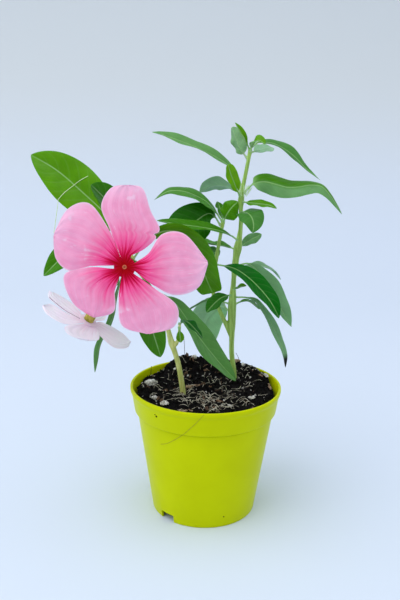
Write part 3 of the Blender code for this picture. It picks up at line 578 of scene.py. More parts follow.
# %% [markdown]
# ## The pot
# A thin-walled pot is moulded round a core, so every section through its axis is the same: turning one
# outline about the axis makes the whole of it. The outline here follows the CAD pot's outside and inside, with
# rounded corners added at the lip, the step of the band and the foot. The notches in the foot ring and the
# drainage holes are cut afterwards, as the mould's side cores do.
# %% The pot's sizes
low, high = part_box("pot")
RIM = (high.x - low.x) / 2
POT_TOP = high.z
WALL = 1.1 * MM
FOOT_RADIUS = 26.0 * MM
BAND_BOTTOM = 52.5 * MM
BAND_STEP = 1.4 * MM
BAND_TAPER = 2.2 * MM
FLOOR_UNDERSIDE, FLOOR_TOP = 5.0 * MM, 6.2 * MM
TURNS = 160
POT_SHARP = 50.0
print("pot's rim radius:", round(RIM / MM, 1), "mm, height:", round(POT_TOP / MM, 1), "mm")


# %% Draw the pot's outline
def body_radius(z):
    """The pot's outer radius below its band."""
    return FOOT_RADIUS + (RIM - BAND_TAPER - BAND_STEP - FOOT_RADIUS) * z / BAND_BOTTOM


def rounded(outline, steps=5):
    """An outline of (radius, height, corner radius) with each corner turned into a short curve."""
    outline = [np.array(p, float) for p in outline]
    points = [outline[0][:2]]
    for before, corner, after in zip(outline, outline[1:], outline[2:]):
        here, size = corner[:2], corner[2]
        back, ahead = before[:2] - here, after[:2] - here
        reach = [min(size, 0.45 * np.linalg.norm(side)) for side in (back, ahead)]
        start, end = here + unit(back) * reach[0], here + unit(ahead) * reach[1]
        shares = np.linspace(0, 1, steps)[:, None] if size > 0 else np.array([[0.5]])
        points += list((1 - shares) ** 2 * start + 2 * shares * (1 - shares) * here + shares**2 * end)
    return np.array(points + [outline[-1][:2]])


shoulder = body_radius(BAND_BOTTOM)
band = shoulder + BAND_STEP
outline = rounded(
    (
        # radius, height, corner radius, from the middle of the foot round to the middle of the floor
        (0, 0, 0),
        (9 * MM, 0, 0.3 * MM),
        (9.8 * MM, FLOOR_UNDERSIDE, 0.5 * MM),
        (body_radius(FLOOR_UNDERSIDE) - WALL, FLOOR_UNDERSIDE, 0.8 * MM),
        (FOOT_RADIUS - WALL, 0, 0.3 * MM),
        (FOOT_RADIUS, 0, 0.5 * MM),
        (shoulder - 0.05 * MM, BAND_BOTTOM - 0.7 * MM, 0.1 * MM),
        (shoulder - 0.3 * MM, BAND_BOTTOM - 0.2 * MM, 0.1 * MM),
        (band, BAND_BOTTOM + 0.3 * MM, 0.4 * MM),
        (RIM - 0.8 * MM, POT_TOP - 3.4 * MM, 1.0 * MM),
        (RIM, POT_TOP - 1.9 * MM, 0.9 * MM),
        (RIM, POT_TOP, 0.7 * MM),
        (RIM - WALL - 0.1 * MM, POT_TOP, 0.5 * MM),
        (RIM - WALL - 0.5 * MM, POT_TOP - 1.2 * MM, 0.5 * MM),
        (band - WALL, BAND_BOTTOM + 1.5 * MM, 0.5 * MM),
        (shoulder - WALL, BAND_BOTTOM, 0.5 * MM),
        (body_radius(FLOOR_TOP) - WALL, FLOOR_TOP, 1.0 * MM),
        (0, FLOOR_TOP, 0),
    )
)
print("points on the pot's outline:", len(outline))

# %% Turn the outline about the axis
angles = np.linspace(0, 2 * math.pi, TURNS, endpoint=False)
circle = np.stack([np.cos(angles), np.sin(angles), np.zeros(TURNS)], axis=1)
rings = np.array([r * circle + (0, 0, z) for r, z in outline[1:-1]])
points, faces = skin(rings, close_start=False, close_end=False)
points = np.concatenate([points, [(0, 0, outline[0][1]), (0, 0, outline[-1][1])]])
final = (len(rings) - 1) * TURNS
for j in range(TURNS):
    after = (j + 1) % TURNS
    faces += [(after, j, len(points) - 2), (final + j, final + after, len(points) - 1)]
pot = piece("pot_moulding", points, faces, [pot_plastic], sharp=POT_SHARP)
print("pot:", len(pot.data.polygons), "faces")

# %% [markdown]
# One Boolean takes all the cuts at once. Its cutters sit in a collection, which is removed when the result
# has been written back to the pot's mesh, so that no live modifier is left.
# %% Cut the notches and the drainage holes
NOTCH_WIDTH, NOTCH_HEIGHT = 8.0 * MM, 4.0 * MM
NOTCH_AZIMUTHS = (-132.0, 48.0)
DRAIN_RADIUS, DRAIN_CIRCLE = 2.5 * MM, 17.0 * MM
DRAINS = 4
CUTTER_REACH = 10 * MM


def cut(target, cutters):
    tools = bpy.data.collections.new("cutters")
    for cutter in cutters:
        for home in list(cutter.users_collection):
            home.objects.unlink(cutter)
        tools.objects.link(cutter)
    modifier = target.modifiers.new("cuts", "BOOLEAN")
    modifier.operation = "DIFFERENCE"
    modifier.solver = "EXACT"
    modifier.operand_type = "COLLECTION"
    modifier.collection = tools
    bpy.context.scene.collection.children.link(tools)
    mesh = evaluated(target)
    target.modifiers.remove(modifier)
    target.data = mesh
    for cutter in cutters:
        bpy.data.objects.remove(cutter)
    bpy.data.collections.remove(tools)
    mesh.set_sharp_from_angle(angle=math.radians(POT_SHARP))


cutters = []
for azimuth in NOTCH_AZIMUTHS:
    aim = math.radians(azimuth)
    spot = (FOOT_RADIUS * math.cos(aim), FOOT_RADIUS * math.sin(aim), 0)
    bpy.ops.mesh.primitive_cube_add(size=1, location=spot)
    cutter = bpy.context.object
    cutter.scale = (CUTTER_REACH, NOTCH_WIDTH, 2 * NOTCH_HEIGHT)
    cutter.rotation_euler = (0, 0, aim)
    cutters.append(cutter)
for k in range(DRAINS):
    aim = 2 * math.pi * (k + 0.5) / DRAINS
    spot = (DRAIN_CIRCLE * math.cos(aim), DRAIN_CIRCLE * math.sin(aim), FLOOR_TOP)
    sizes = {"vertices": 32, "radius": DRAIN_RADIUS, "depth": CUTTER_REACH / 2}
    bpy.ops.mesh.primitive_cylinder_add(**sizes, location=spot)
    cutters.append(bpy.context.object)
cut(pot, cutters)
settle(pot, "pot_plastic", "pot")
print("pot after its cuts:", len(pot.data.polygons), "faces")

# %% [markdown]
# ## The soil
# Potting mix looks like a heap of dark crumbs with pale bits in it, not like a bumpy plane. So the soil is
# made in two layers. A closed body with a rough top carries the form: its height is read off the CAD soil by
# dropping a ray at each point. Loose crumbs, perlite, bark and roots then lie on it, and make the surface.
# %% The soil's body
SOIL_RINGS = 56
SOIL_EDGE = band - WALL - 0.2 * MM
ROUGHNESS = 0.9 * MM
CAD_REACH = 32.5 * MM
SOIL_SKIRT = 4 * MM
soil_cad = surface_of("soil")


def ground(x, y):
    """The CAD soil's height under a point. Past its reach the height at its edge is carried on."""
    reach = math.hypot(x, y)
    inside = min(1.0, CAD_REACH / max(reach, 1e-6))
    hit = soil_cad.ray_cast(Vector((x * inside, y * inside, 0.2)), Vector((0, 0, -1)))
    return hit[0].z if hit[0] else POT_TOP - 3 * MM


def rough(x, y):
    lumps = noise.fractal(Vector((x, y, 0.0)) * 260, 0.9, 2.1, 4)
    return ground(x, y) + ROUGHNESS * lumps


rings = []
for i in range(SOIL_RINGS):
    radius = SOIL_EDGE * (i + 1) / SOIL_RINGS
    rings.append([(radius * c, radius * s, rough(radius * c, radius * s)) for c, s, _ in circle])
rings.append([(r[0], r[1], r[2] - SOIL_SKIRT) for r in rings[-1]])
narrow = (body_radius(FLOOR_TOP) - WALL - 0.4 * MM) / SOIL_EDGE
rings.append([(r[0] * narrow, r[1] * narrow, FLOOR_TOP + 0.3 * MM) for r in rings[-1]])
rings = np.array(rings)
points, faces = skin(rings, close_start=False)
centre = len(points)
points = np.concatenate([points, [(0, 0, rough(0, 0))]])
faces += [(centre, j, (j + 1) % TURNS) for j in range(TURNS)]
soil = piece("soil_body", points, faces, [peat])
settle(soil, "potting_soil", "soil")
print("soil:", len(faces), "faces")

# %% [markdown]
# ## A tree that scatters
# Crumbs, perlite, bark and, later, the stems' hairs are all small shapes spread over a surface. One Geometry
# Nodes tree does it. Points are spread over the surface at a density, a shape is placed on each, turned and
# sized at random from a fixed seed, and the result becomes real faces with a material of its own. A switch
# chooses between tumbling each shape freely and standing it up along the surface's normal.
# %% Start and end a Geometry Nodes tree
def node_tree(name, inputs):
    """An empty tree with one geometry output and its named inputs, and its input and output nodes."""
    made = bpy.data.node_groups.new(name, "GeometryNodeTree")
    made.interface.new_socket(name="Geometry", in_out="OUTPUT", socket_type="NodeSocketGeometry")
    for title, kind in {"Geometry": "Geometry", **inputs, "Material": "Material"}.items():
        made.interface.new_socket(name=title, in_out="INPUT", socket_type="NodeSocket" + kind)
    return made, made.nodes.new("NodeGroupInput").outputs, made.nodes.new("NodeGroupOutput")


def end_tree(tree, given, result, geometry):
    """Turns a tree's instances into real faces, which take the named material."""
    real = add(tree, "GeometryNodeRealizeInstances", {"Geometry": geometry})
    worn = {"Geometry": real.outputs[0], "Material": given["Material"]}
    tree.links.new(add(tree, "GeometryNodeSetMaterial", worn).outputs[0], result.inputs[0])


# %% Build the scattering tree
scatter, given, result = node_tree(
    "scatter",
    {
        "Shapes": "Collection",
        "Density": "Float",
        "Smallest": "Float",
        "Largest": "Float",
        "Sink": "Float",
        "Standing": "Bool",
        "Lean": "Float",
        "Seed": "Int",
    },
)
TURN_RANGE = (0.0, 0.0, 0.0), (math.tau, math.tau, math.tau)
LEAN_RANGE = (-1.0, -1.0, -math.pi), (1.0, 1.0, math.pi)
build = partial(add, scatter)


def random_between(low, high):
    """A random number, or three, for each point. Sockets 0 and 1 take vectors, and 2 and 3 take numbers."""
    kind, first = ("FLOAT_VECTOR", 0) if isinstance(low, tuple) else ("FLOAT", 2)
    made = build("FunctionNodeRandomValue", {first: low, first + 1: high, 8: given["Seed"]}, data_type=kind)
    return made.outputs[first // 2]


spread = build(
    "GeometryNodeDistributePointsOnFaces",
    {"Mesh": given["Geometry"], "Density": given["Density"], "Seed": given["Seed"]},
    distribute_method="RANDOM",
).outputs
shapes = build(
    "GeometryNodeCollectionInfo",
    {"Collection": given["Shapes"], "Separate Children": True, "Reset Children": True},
)
lean_by = build("ShaderNodeCombineXYZ", {0: given["Lean"], 1: given["Lean"], 2: 1.0}).outputs[0]
leaning = build("ShaderNodeVectorMath", {0: random_between(*LEAN_RANGE), 1: lean_by}, operation="MULTIPLY")
upright = build(
    "FunctionNodeRotateRotation", {0: spread["Rotation"], 1: leaning.outputs[0]}, rotation_space="LOCAL"
)
turned = build(
    "GeometryNodeSwitch",
    {"Switch": given["Standing"], "False": random_between(*TURN_RANGE), "True": upright.outputs[0]},
    input_type="ROTATION",
)
instances = build(
    "GeometryNodeInstanceOnPoints",
    {
        "Points": spread["Points"],
        "Instance": shapes.outputs[0],
        "Pick Instance": True,
        "Rotation": turned.outputs[0],
        "Scale": random_between(given["Smallest"], given["Largest"]),
    },
)
down = build("ShaderNodeVectorMath", {0: spread["Normal"], "Scale": given["Sink"]}, operation="SCALE")
sunk = build(
    "GeometryNodeTranslateInstances",
    {"Instances": instances.outputs[0], "Translation": down.outputs[0], "Local Space": False},
)
end_tree(scatter, given, result, sunk.outputs[0])


# %% Run a tree
def run_tree(tree, thing, name, values, finish):
    """Runs a tree on a thing and returns the result as a plain mesh object. Inputs are set by identifier."""
    modifier = thing.modifiers.new("tree", "NODES")
    modifier.node_group = tree
    sockets = {s.name: s.identifier for s in tree.interface.items_tree if s.in_out == "INPUT"}
    for title, value in {**values, "Material": finish}.items():
        modifier[sockets[title]] = value
    mesh = evaluated(thing)
    thing.modifiers.remove(modifier)
    mesh.name = name
    mesh.shade_smooth()
    mesh.set_sharp_from_angle(angle=math.radians(45))
    return placed(name, mesh)


def scattered(name, thing, shapes, density, sizes, seed, finish, sink=0.0, lean=None):
    """Spreads shapes over a thing. Sizes and sink are in mm. With a lean, the shapes stand on the surface."""
    values = {
        "Shapes": shapes,
        "Density": density,
        "Smallest": sizes[0] * MM,
        "Largest": sizes[1] * MM,
        "Sink": -sink * MM,
        "Standing": lean is not None,
        "Lean": lean or 0.0,
        "Seed": seed,
    }
    made = run_tree(scatter, thing, name, values, finish)
    print(name, len(made.data.polygons), "faces")
    return made


# %% [markdown]
# ## Crumbs, perlite and bark
# A lump is a small ball pushed in and out by noise. A few different lumps are enough, since each is turned
# and sized at random. Perlite is rounder and white, bark is flat and splintered.
# %% Model the lumps
def lumps(title, count, subdivisions, uneven, flatten, start):
    """A collection of unit-sized lumps. Each has its own place in the noise, counted from a start."""
    box = bpy.data.collections.new(title)
    for k in range(count):
        work = bmesh.new()
        bmesh.ops.create_icosphere(work, subdivisions=subdivisions, radius=0.5)
        for v in work.verts:
            shift = noise.fractal(v.co * 2.6 + Vector((start, 7.3 * k, 0.0)), 1.0, 2.0, 3)
            v.co *= 1 + uneven * shift
            v.co.x *= 1.0 + 0.25 * (k % 3)
            v.co.z *= flatten
        mesh = to_mesh(f"{title}_{k}", work)
        box.objects.link(bpy.data.objects.new(mesh.name, mesh))
    return box


crumb_shapes = lumps("crumb", 4, 2, 0.8, 0.75, 3.1)
grain_shapes = lumps("grain_crumb", 3, 1, 0.7, 0.8, 5.7)
chip_shapes = lumps("chip", 3, 2, 0.6, 0.3, 9.4)
pebble_shapes = lumps("pebble", 3, 2, 0.55, 0.9, 6.2)

# %% Scatter them over the soil
STEEP = 0.2
work = bmesh.new()
work.from_mesh(soil.data)
bmesh.ops.delete(work, geom=[f for f in work.faces if f.normal.z < STEEP], context="FACES")
bed = placed("bed", to_mesh("bed", work))

SCATTERS = (
    # name, shapes, number on a square metre, least and greatest size, seed, finish, sink, slot
    ("soil_crumbs", crumb_shapes, 2.2e5, (0.8, 2.2), 11, peat, 0.2, "potting_soil"),
    ("soil_grains", grain_shapes, 9.0e5, (0.35, 0.95), 23, peat, 0.1, "potting_soil"),
    ("bark_chips", chip_shapes, 1.6e4, (1.0, 3.2), 37, bark_skin, 0.1, "potting_soil"),
    ("perlite_bits", crumb_shapes, 2.2e4, (0.3, 1.3), 41, perlite_skin, 0.0, "perlite"),
)
for name, shapes, density, sizes, seed, finish, sink, slot in SCATTERS:
    density *= 1.0
    settle(scattered(name, bed, shapes, density, sizes, seed, finish, sink), slot)

# %% [markdown]
# ## Roots and fibres
# Fine pale roots lie in a tangle round the stems' feet. Each is a thin tube along a wandering line, so a
# second tree turns any curve into a tube: a circle of named radius is drawn along it, and each point's own
# radius thins it out towards the end. The lines themselves are random walks that keep to the soil's surface.
# %% Build the thread tree
thread, given, result = node_tree("thread", {"Radius": "Float", "Sides": "Int"})
ring = add(
    thread,
    "GeometryNodeCurvePrimitiveCircle",
    {"Resolution": given["Sides"], "Radius": given["Radius"]},
    mode="RADIUS",
)
drawn = add(
    thread,
    "GeometryNodeCurveToMesh",
    {"Curve": given["Geometry"], "Profile Curve": ring.outputs["Curve"], "Fill Caps": True},
)
end_tree(thread, given, result, drawn.outputs[0])


def threads(name, lines, radius, finish, sides=5, thin_to=0.4):
    """One mesh of thin tubes, one along each line of points."""
    data = bpy.data.curves.new(name + "_lines", "CURVE")
    data.dimensions = "3D"
    for line in lines:
        spline = data.splines.new("POLY")
        spline.points.add(len(line) - 1)
        for k, (point, spot) in enumerate(zip(spline.points, line)):
            point.co = (*spot, 1.0)
            point.radius = 1 - (1 - thin_to) * k / (len(line) - 1)
    guide = placed(name + "_lines", data)
    made = run_tree(thread, guide, name, {"Radius": radius, "Sides": sides}, finish)
    bpy.data.objects.remove(guide)
    print(name, len(lines), "lines,", len(made.data.polygons), "faces")
    return made


# %% Lay the roots
ROOT_STEP = 0.7 * MM
ROOT_LIFT = 1.4 * MM
KINKED, SHARPEST_KINK = 0.12, 1.2
ROOT_PATCHES = (
    # x, y, spread, number of roots, least and most steps, all in millimetres
    (6.0, -16.0, 6.0, 44, 6, 15),
    (-5.0, -12.0, 5.0, 28, 5, 12),
    (-20.0, -4.0, 6.0, 28, 3, 8),
    (13.0, 8.0, 9.0, 32, 3, 9),
    (26.0, 20.0, 3.5, 14, 3, 8),
    (0.0, 0.0, 18.0, 100, 3, 8),
)
draw = np.random.RandomState(7)


def wandering_root(x, y, steps):
    """A line of points that keeps to the soil, curls a little as it goes and has a kink here and there."""
    heading, bend = draw.uniform(0, math.tau), draw.uniform(-0.1, 0.1)
    lift = draw.uniform(0.0, ROOT_LIFT)
    line = []
    for k in range(steps):
        if math.hypot(x, y) > SOIL_EDGE - 1 * MM:
            break
        line.append((x, y, rough(x, y) + 0.5 * MM + lift * math.sin(math.pi * k / steps)))
        bend = 0.85 * bend + draw.uniform(-0.08, 0.08)
        heading += bend + (draw.uniform(-SHARPEST_KINK, SHARPEST_KINK) if draw.uniform() < KINKED else 0.0)
        x += ROOT_STEP * math.cos(heading)
        y += ROOT_STEP * math.sin(heading)
    return line


roots = []
for x, y, spread, count, least, most in ROOT_PATCHES:
    for _ in range(count):
        start = draw.normal((x, y), spread) * MM
        root = wandering_root(*start, draw.randint(least, most))
        if len(root) > 3:
            roots.append(root)
settle(threads("root_fibres", roots, 0.1 * MM, fibre_skin, thin_to=0.6), "root_fibre")

# %% [markdown]
# A few stiff dark hairs, the ends of dead roots, stand out of the soil at the back. Each starts just under the
# rough surface at its own place, so it's never seen to float.
# %% Stand a few dark hairs in the soil
HAIRS = (
    ((-11.5, 27.0, 71.7), (-11.7, 27.0, 76.2), (-12.1, 27.0, 81.2)),
    ((18.0, 26.0, 67.7), (16.9, 26.0, 70.5), (15.7, 26.0, 72.7)),
    ((-28.9, 20.0, 63.2), (-28.6, 20.0, 66.5)),
)
lines = []
for points in HAIRS:
    x, y, _ = points[0]
    foot = (x * MM, y * MM, rough(x * MM, y * MM) - 0.5 * MM)
    lines.append([foot] + [tuple(c * MM for c in point) for point in points])
settle(threads("soil_hairs", lines, 0.13 * MM, black_fibre), "root_fibre")

# %% [markdown]
# ## The larger bits, placed one by one
# A few lumps are large enough to be known by their place: two of perlite near the left rim, tan chips beside
# the left stem and a curl of bark at the right. Each is one of the random lumps, stretched and turned.
# %% Place the larger bits
PERLITE = (
    # x, y, lengths along x, y and z, turn in degrees
    (-27.6, 6.0, (6.4, 4.2, 3.2), 20),
    (-24.6, -11.8, (3.2, 2.6, 2.4), 70),
    (-19.4, -18.6, (2.8, 3.6, 2.2), 30),
    (-6.5, 29.0, (3.6, 2.6, 2.4), 110),
    (22.7, -9.7, (3.4, 2.2, 1.6), 40),
    (11.3, -17.8, (2.6, 1.8, 1.4), 150),
    (19.7, 23.4, (2.0, 2.6, 1.8), 10),
    (31.0, 12.0, (1.6, 4.2, 1.6), 15),
)
CHIPS = (
    (-8.4, 1.6, (3.6, 2.6, 2.4), 160),
    (-5.4, 4.9, (3.4, 2.0, 1.4), 20),
    (16.4, 28.6, (2.4, 3.0, 1.6), 60),
    (32.4, 5.4, (1.2, 8.0, 1.4), 8),
    (-9.0, -25.6, (7.5, 1.5, 1.2), 8),
    (2.0, -30.0, (6.0, 1.3, 1.0), 175),
)


def roughened(work, frequency, octaves, depth):
    """Pushes the points of a bmesh in and out by noise. depth is in millimetres."""
    for v in work.verts:
        v.co += v.normal * noise.fractal(v.co * frequency, 1.0, 2.0, octaves) * depth * MM


def bits(name, chosen, shapes, finish):
    """One mesh of the chosen bits, each half sunk in the soil."""
    work = bmesh.new()
    for k, (x, y, lengths, turn) in enumerate(chosen):
        spot = Vector((x * MM, y * MM, rough(x * MM, y * MM) + 0.3 * lengths[2] * MM))
        before = len(work.verts)
        work.from_mesh(shapes.objects[k % len(shapes.objects)].data)
        work.verts.ensure_lookup_table()
        place = Matrix.Translation(spot) @ Matrix.Rotation(math.radians(turn), 4, "Z")
        place @= Matrix.Diagonal((*(length * MM for length in lengths), 1.0))
        for v in work.verts[before:]:
            v.co = place @ v.co
    bmesh.ops.subdivide_edges(work, edges=work.edges, cuts=1, use_grid_fill=True, smooth=0.6)
    roughened(work, 1500, 3, 0.28)
    return placed(name, to_mesh(name, work, finish))


settle(bits("perlite_lumps", PERLITE, pebble_shapes, perlite_skin), "perlite")
settle(bits("bark_splinters", CHIPS, crumb_shapes, tan_skin), "potting_soil")
print("larger bits:", len(PERLITE) + len(CHIPS))

# %% [markdown]
# One fine dark root has dried onto the outside of the pot, and a few specks of soil stick there. The root's
# points are given by their turn round the pot and their height, and the pot's own radius puts them on it.
# %% Lay the root on the pot
outer_side = outline[: np.argmax(outline[:, 1]) + 1]
outer_side = outer_side[outer_side[:, 0] > FOOT_RADIUS - 0.2 * MM]


def outside(turn, z, clear=0.1 * MM):
    """A point on the outside of the pot, at a turn in degrees and a height."""
    radius = np.interp(z, outer_side[:, 1], outer_side[:, 0]) + clear
    return radius * math.cos(math.radians(turn)), radius * math.sin(math.radians(turn)), z


DRIED_ROOT = (
    (-90.8, 64.6), (-95.5, 60.6), (-101.5, 56.2), (-108.0, 52.0),
    (-115.2, 48.4), (-122.3, 45.6), (-129.2, 43.9),
)
SPECKS = ((-128.3, 59.4, 0.9), (-67.9, 5.9, 0.7), (-129.6, 60.2, 0.5))
line = [outside(turn, z * MM) for turn, z in smooth(DRIED_ROOT, np.linspace(0, len(DRIED_ROOT) - 1, 50))]
dried = threads("dried_root", [line], 0.085 * MM, dark_fibre, thin_to=0.6)
settle(dried, "root_fibre")
work = bmesh.new()
for turn, z, across in SPECKS:
    made = bmesh.ops.create_icosphere(work, subdivisions=2, radius=across * MM / 2)["verts"]
    bmesh.ops.translate(work, verts=made, vec=outside(turn, z * MM, 0.0))
roughened(work, 2500, 2, 0.12)
settle(placed("soil_specks", to_mesh("soil_specks", work, peat)), "potting_soil")
print("specks:", len(SPECKS))

# %% [markdown]
# ## The stems
# Each CAD stem is a nine-sided tube with its forks cut sharp. On the plant, a side shoot grows out of the main
# stem through a rounded crotch, and each leaf's stalk widens where it leaves the stem. A voxel remesh of a
# merged copy gives one even skin over the forks, and a few passes of smoothing round them off. The calyces,
# the green cups that hold the blooms, are made in the same way.
# %% Remesh the stems and the calyces
def skinned(name, node, voxel, finish, passes):
    """A smooth closed copy of a CAD solid."""
    made = placed(name, to_mesh(name, merged(node)))
    remesh = made.modifiers.new("skin", "REMESH")
    remesh.mode = "VOXEL"
    remesh.voxel_size = voxel
    soften = made.modifiers.new("soften", "SMOOTH")
    soften.factor = 0.5
    soften.iterations = passes
    made.data = evaluated(made)
    made.modifiers.clear()
    made.data.materials.clear()
    made.data.materials.append(finish)
    made.data.shade_smooth()
    print(name, len(made.data.polygons), "faces")
    return settle(made, "stem_green" if node.startswith("stem") else "sepal_green", node)


stem_pieces = {}
for side, finish in (("left", pale_stem_skin), ("right", stem_skin)):
    stem_pieces[side] = skinned(f"stem_{side}_skin", "stem_" + side, 0.32 * MM, finish, 6)
for bloom in ("main", "pale"):
    skinned(f"calyx_{bloom}_skin", "calyx_" + bloom, 0.14 * MM, sepal_skin, 4)

# %% [markdown]
# A periwinkle's young stems are covered in very short white hairs, which give them their pale outline. The
# scattering tree plants them: thin cones that stand up from the skin and lean a little at random.
# %% Plant the hairs
work = bmesh.new()
bmesh.ops.create_cone(work, segments=3, radius1=0.04, radius2=0.004, depth=1.0, cap_ends=True)
bmesh.ops.translate(work, verts=work.verts, vec=(0, 0, 0.5))
hair_shapes = bpy.data.collections.new("hairs")
hair_shapes.objects.link(bpy.data.objects.new("hair", to_mesh("hair", work)))
density = 2.0 * 1e6
for side, thing in stem_pieces.items():
    hairs = scattered(f"stem_{side}_hairs", thing, hair_shapes, density, (0.25, 0.5), 5, hair_skin, lean=0.5)
    settle(hairs, "stem_green")

# %% [markdown]
# ## The leaves
# All leaves are one recipe. The CAD solid gives a leaf's midrib and the two directions in which its halves
# spread at each station. The blade is then built again with many more points: a round stalk that starts
# inside the stem, a thin blade with a groove above and a rib below, and a margin that waves a little.
# %% Read a leaf's stations
NARROW = 2.2 * MM
FOOT_HALF_WIDTH = 0.45 * MM


def leaf_stations(rings):
    """Per station: the midrib, the half-width and the two halves' directions, all from the solid's rings."""
    middle = rings.mean(axis=1)
    tangents = unit(np.gradient(middle, axis=0))
    spread = np.array([np.ptp(r @ np.linalg.svd(r - r.mean(0))[2][0]) for r in rings])
    wide = np.flatnonzero(spread > NARROW)
    halves, sides, previous = np.full(len(rings), FOOT_HALF_WIDTH), {}, None
    for i in wide:
        flat = rings[i] - middle[i]
        flat = flat - (flat @ tangents[i])[:, None] * tangents[i]
        across = np.linalg.svd(flat)[2][0]
        if previous is not None and across @ previous < 0:
            across = -across
        previous = across
        order = np.argsort(flat @ across)
        low, high = rings[i][order[:2]].mean(0), rings[i][order[-2:]].mean(0)
        half = len(order) // 2
        middle[i] = rings[i][order[half - 1 : half + 1]].mean(0)
        halves[i] = (np.linalg.norm(low - middle[i]) + np.linalg.norm(high - middle[i])) / 2
        sides[i] = unit(low - middle[i]), unit(high - middle[i])
    nearest = [wide[np.argmin(abs(wide - i))] for i in range(len(rings))]
    left, right = (np.array([sides[n][k] for n in nearest]) for k in (0, 1))
    tangents = unit(np.gradient(middle, axis=0))
    left, right = (unit(s - (s * tangents).sum(1)[:, None] * tangents) for s in (left, right))
    return middle, halves, left, right


# %% [markdown]
# The widths at a few stations would give a blade with corners. A periwinkle's blade is an oblong, so a law with
# a width and two powers, one for the blunt foot and one for the tip, is fitted to them, by trying each pair.
# %% Fit a blade to a leaf's widths
STALK_SHARE = 0.09


def blade_half_width(share, width, foot, tip):
    """The half-width of a stalk and then an oblong, whose ends are blunter the lower their powers are."""
    blade = np.clip((share - STALK_SHARE) / (1 - STALK_SHARE), 0, 1)
    widest = foot / (foot + tip)
    return width / 2 * blade**foot * (1 - blade) ** tip / (widest**foot * (1 - widest) ** tip)


def fitted_blade(halves):
    """The width and the two powers that come closest to the half-widths measured on the solid."""
    share, wide, found = np.linspace(0, 1, len(halves)), halves > NARROW / 2, []
    for foot in np.arange(0.2, 1.2, 0.05):
        for tip in np.arange(0.2, 1.4, 0.05):
            law = blade_half_width(share, 2.0, foot, tip)[wide]
            scale = law @ halves[wide] / (law @ law)
            found.append((abs(scale * law - halves[wide]).sum(), 2 * scale, foot, tip))
    return min(found)[1:]


# %% Lay out a leaf
STALK_ROOT = 1.5 * MM
TURNED_OVER = ("leaf_side_6", "leaf_left_9", "leaf_left_5", "leaf_right_14", "leaf_right_19")


def leaf_frame(name, rows):
    """Per row from the stem to the tip: the share of the way, the spine, three directions and the width."""
    middle, halves, left, right = leaf_stations(rings_of[name])
    even = np.linspace(0, 1, rows)
    share = (even + (1 - np.cos(math.pi * even)) / 2) / 2
    at = share * (len(middle) - 1)
    spine, left, right = smooth(middle, at), unit(smooth(left, at)), unit(smooth(right, at))
    tangent = unit(np.gradient(spine, axis=0))
    root = spine[0] - tangent[0] * STALK_ROOT * np.array([1, 0.7, 0.35])[:, None]
    spine = np.concatenate([root, spine])
    left, right, tangent = (np.concatenate([s[:1]] * 3 + [s]) for s in (left, right, tangent))
    share = np.concatenate([[0, 0, 0], share])
    blade = blade_half_width(share, *fitted_blade(halves))
    up = unit(np.cross(tangent, right - left))
    lift = ((left + right) * up).sum(1)
    if (lift[3:-3].mean() < 0) != (name in TURNED_OVER):
        up, left, right = -up, right, left
    return share, spine, (right - left) / 2, (right + left) / 2, up, blade


# %% [markdown]
# A blade is a closed skin: its rings run over the upper face from one margin to the other and back below. The
# two halves fold up from the midrib, swell a little between midrib and margin, and wave along the margin.
# Near the foot the same rings are a round stalk, which widens inside the stem, so no seam shows.
# %% Build a fine leaf
BLADE, STALK = 0.17 * MM, 0.45 * MM
FOLD_SOFTNESS = 0.03
WAVES, WAVE_DEPTH = 14, 0.04
BULGE = 0.05
GROOVE_DEPTH, RIB_HEIGHT, RIB_WIDTH = 0.25 * MM, 0.45 * MM, 0.5 * MM
ALL_BLADE = 1.6 * MM


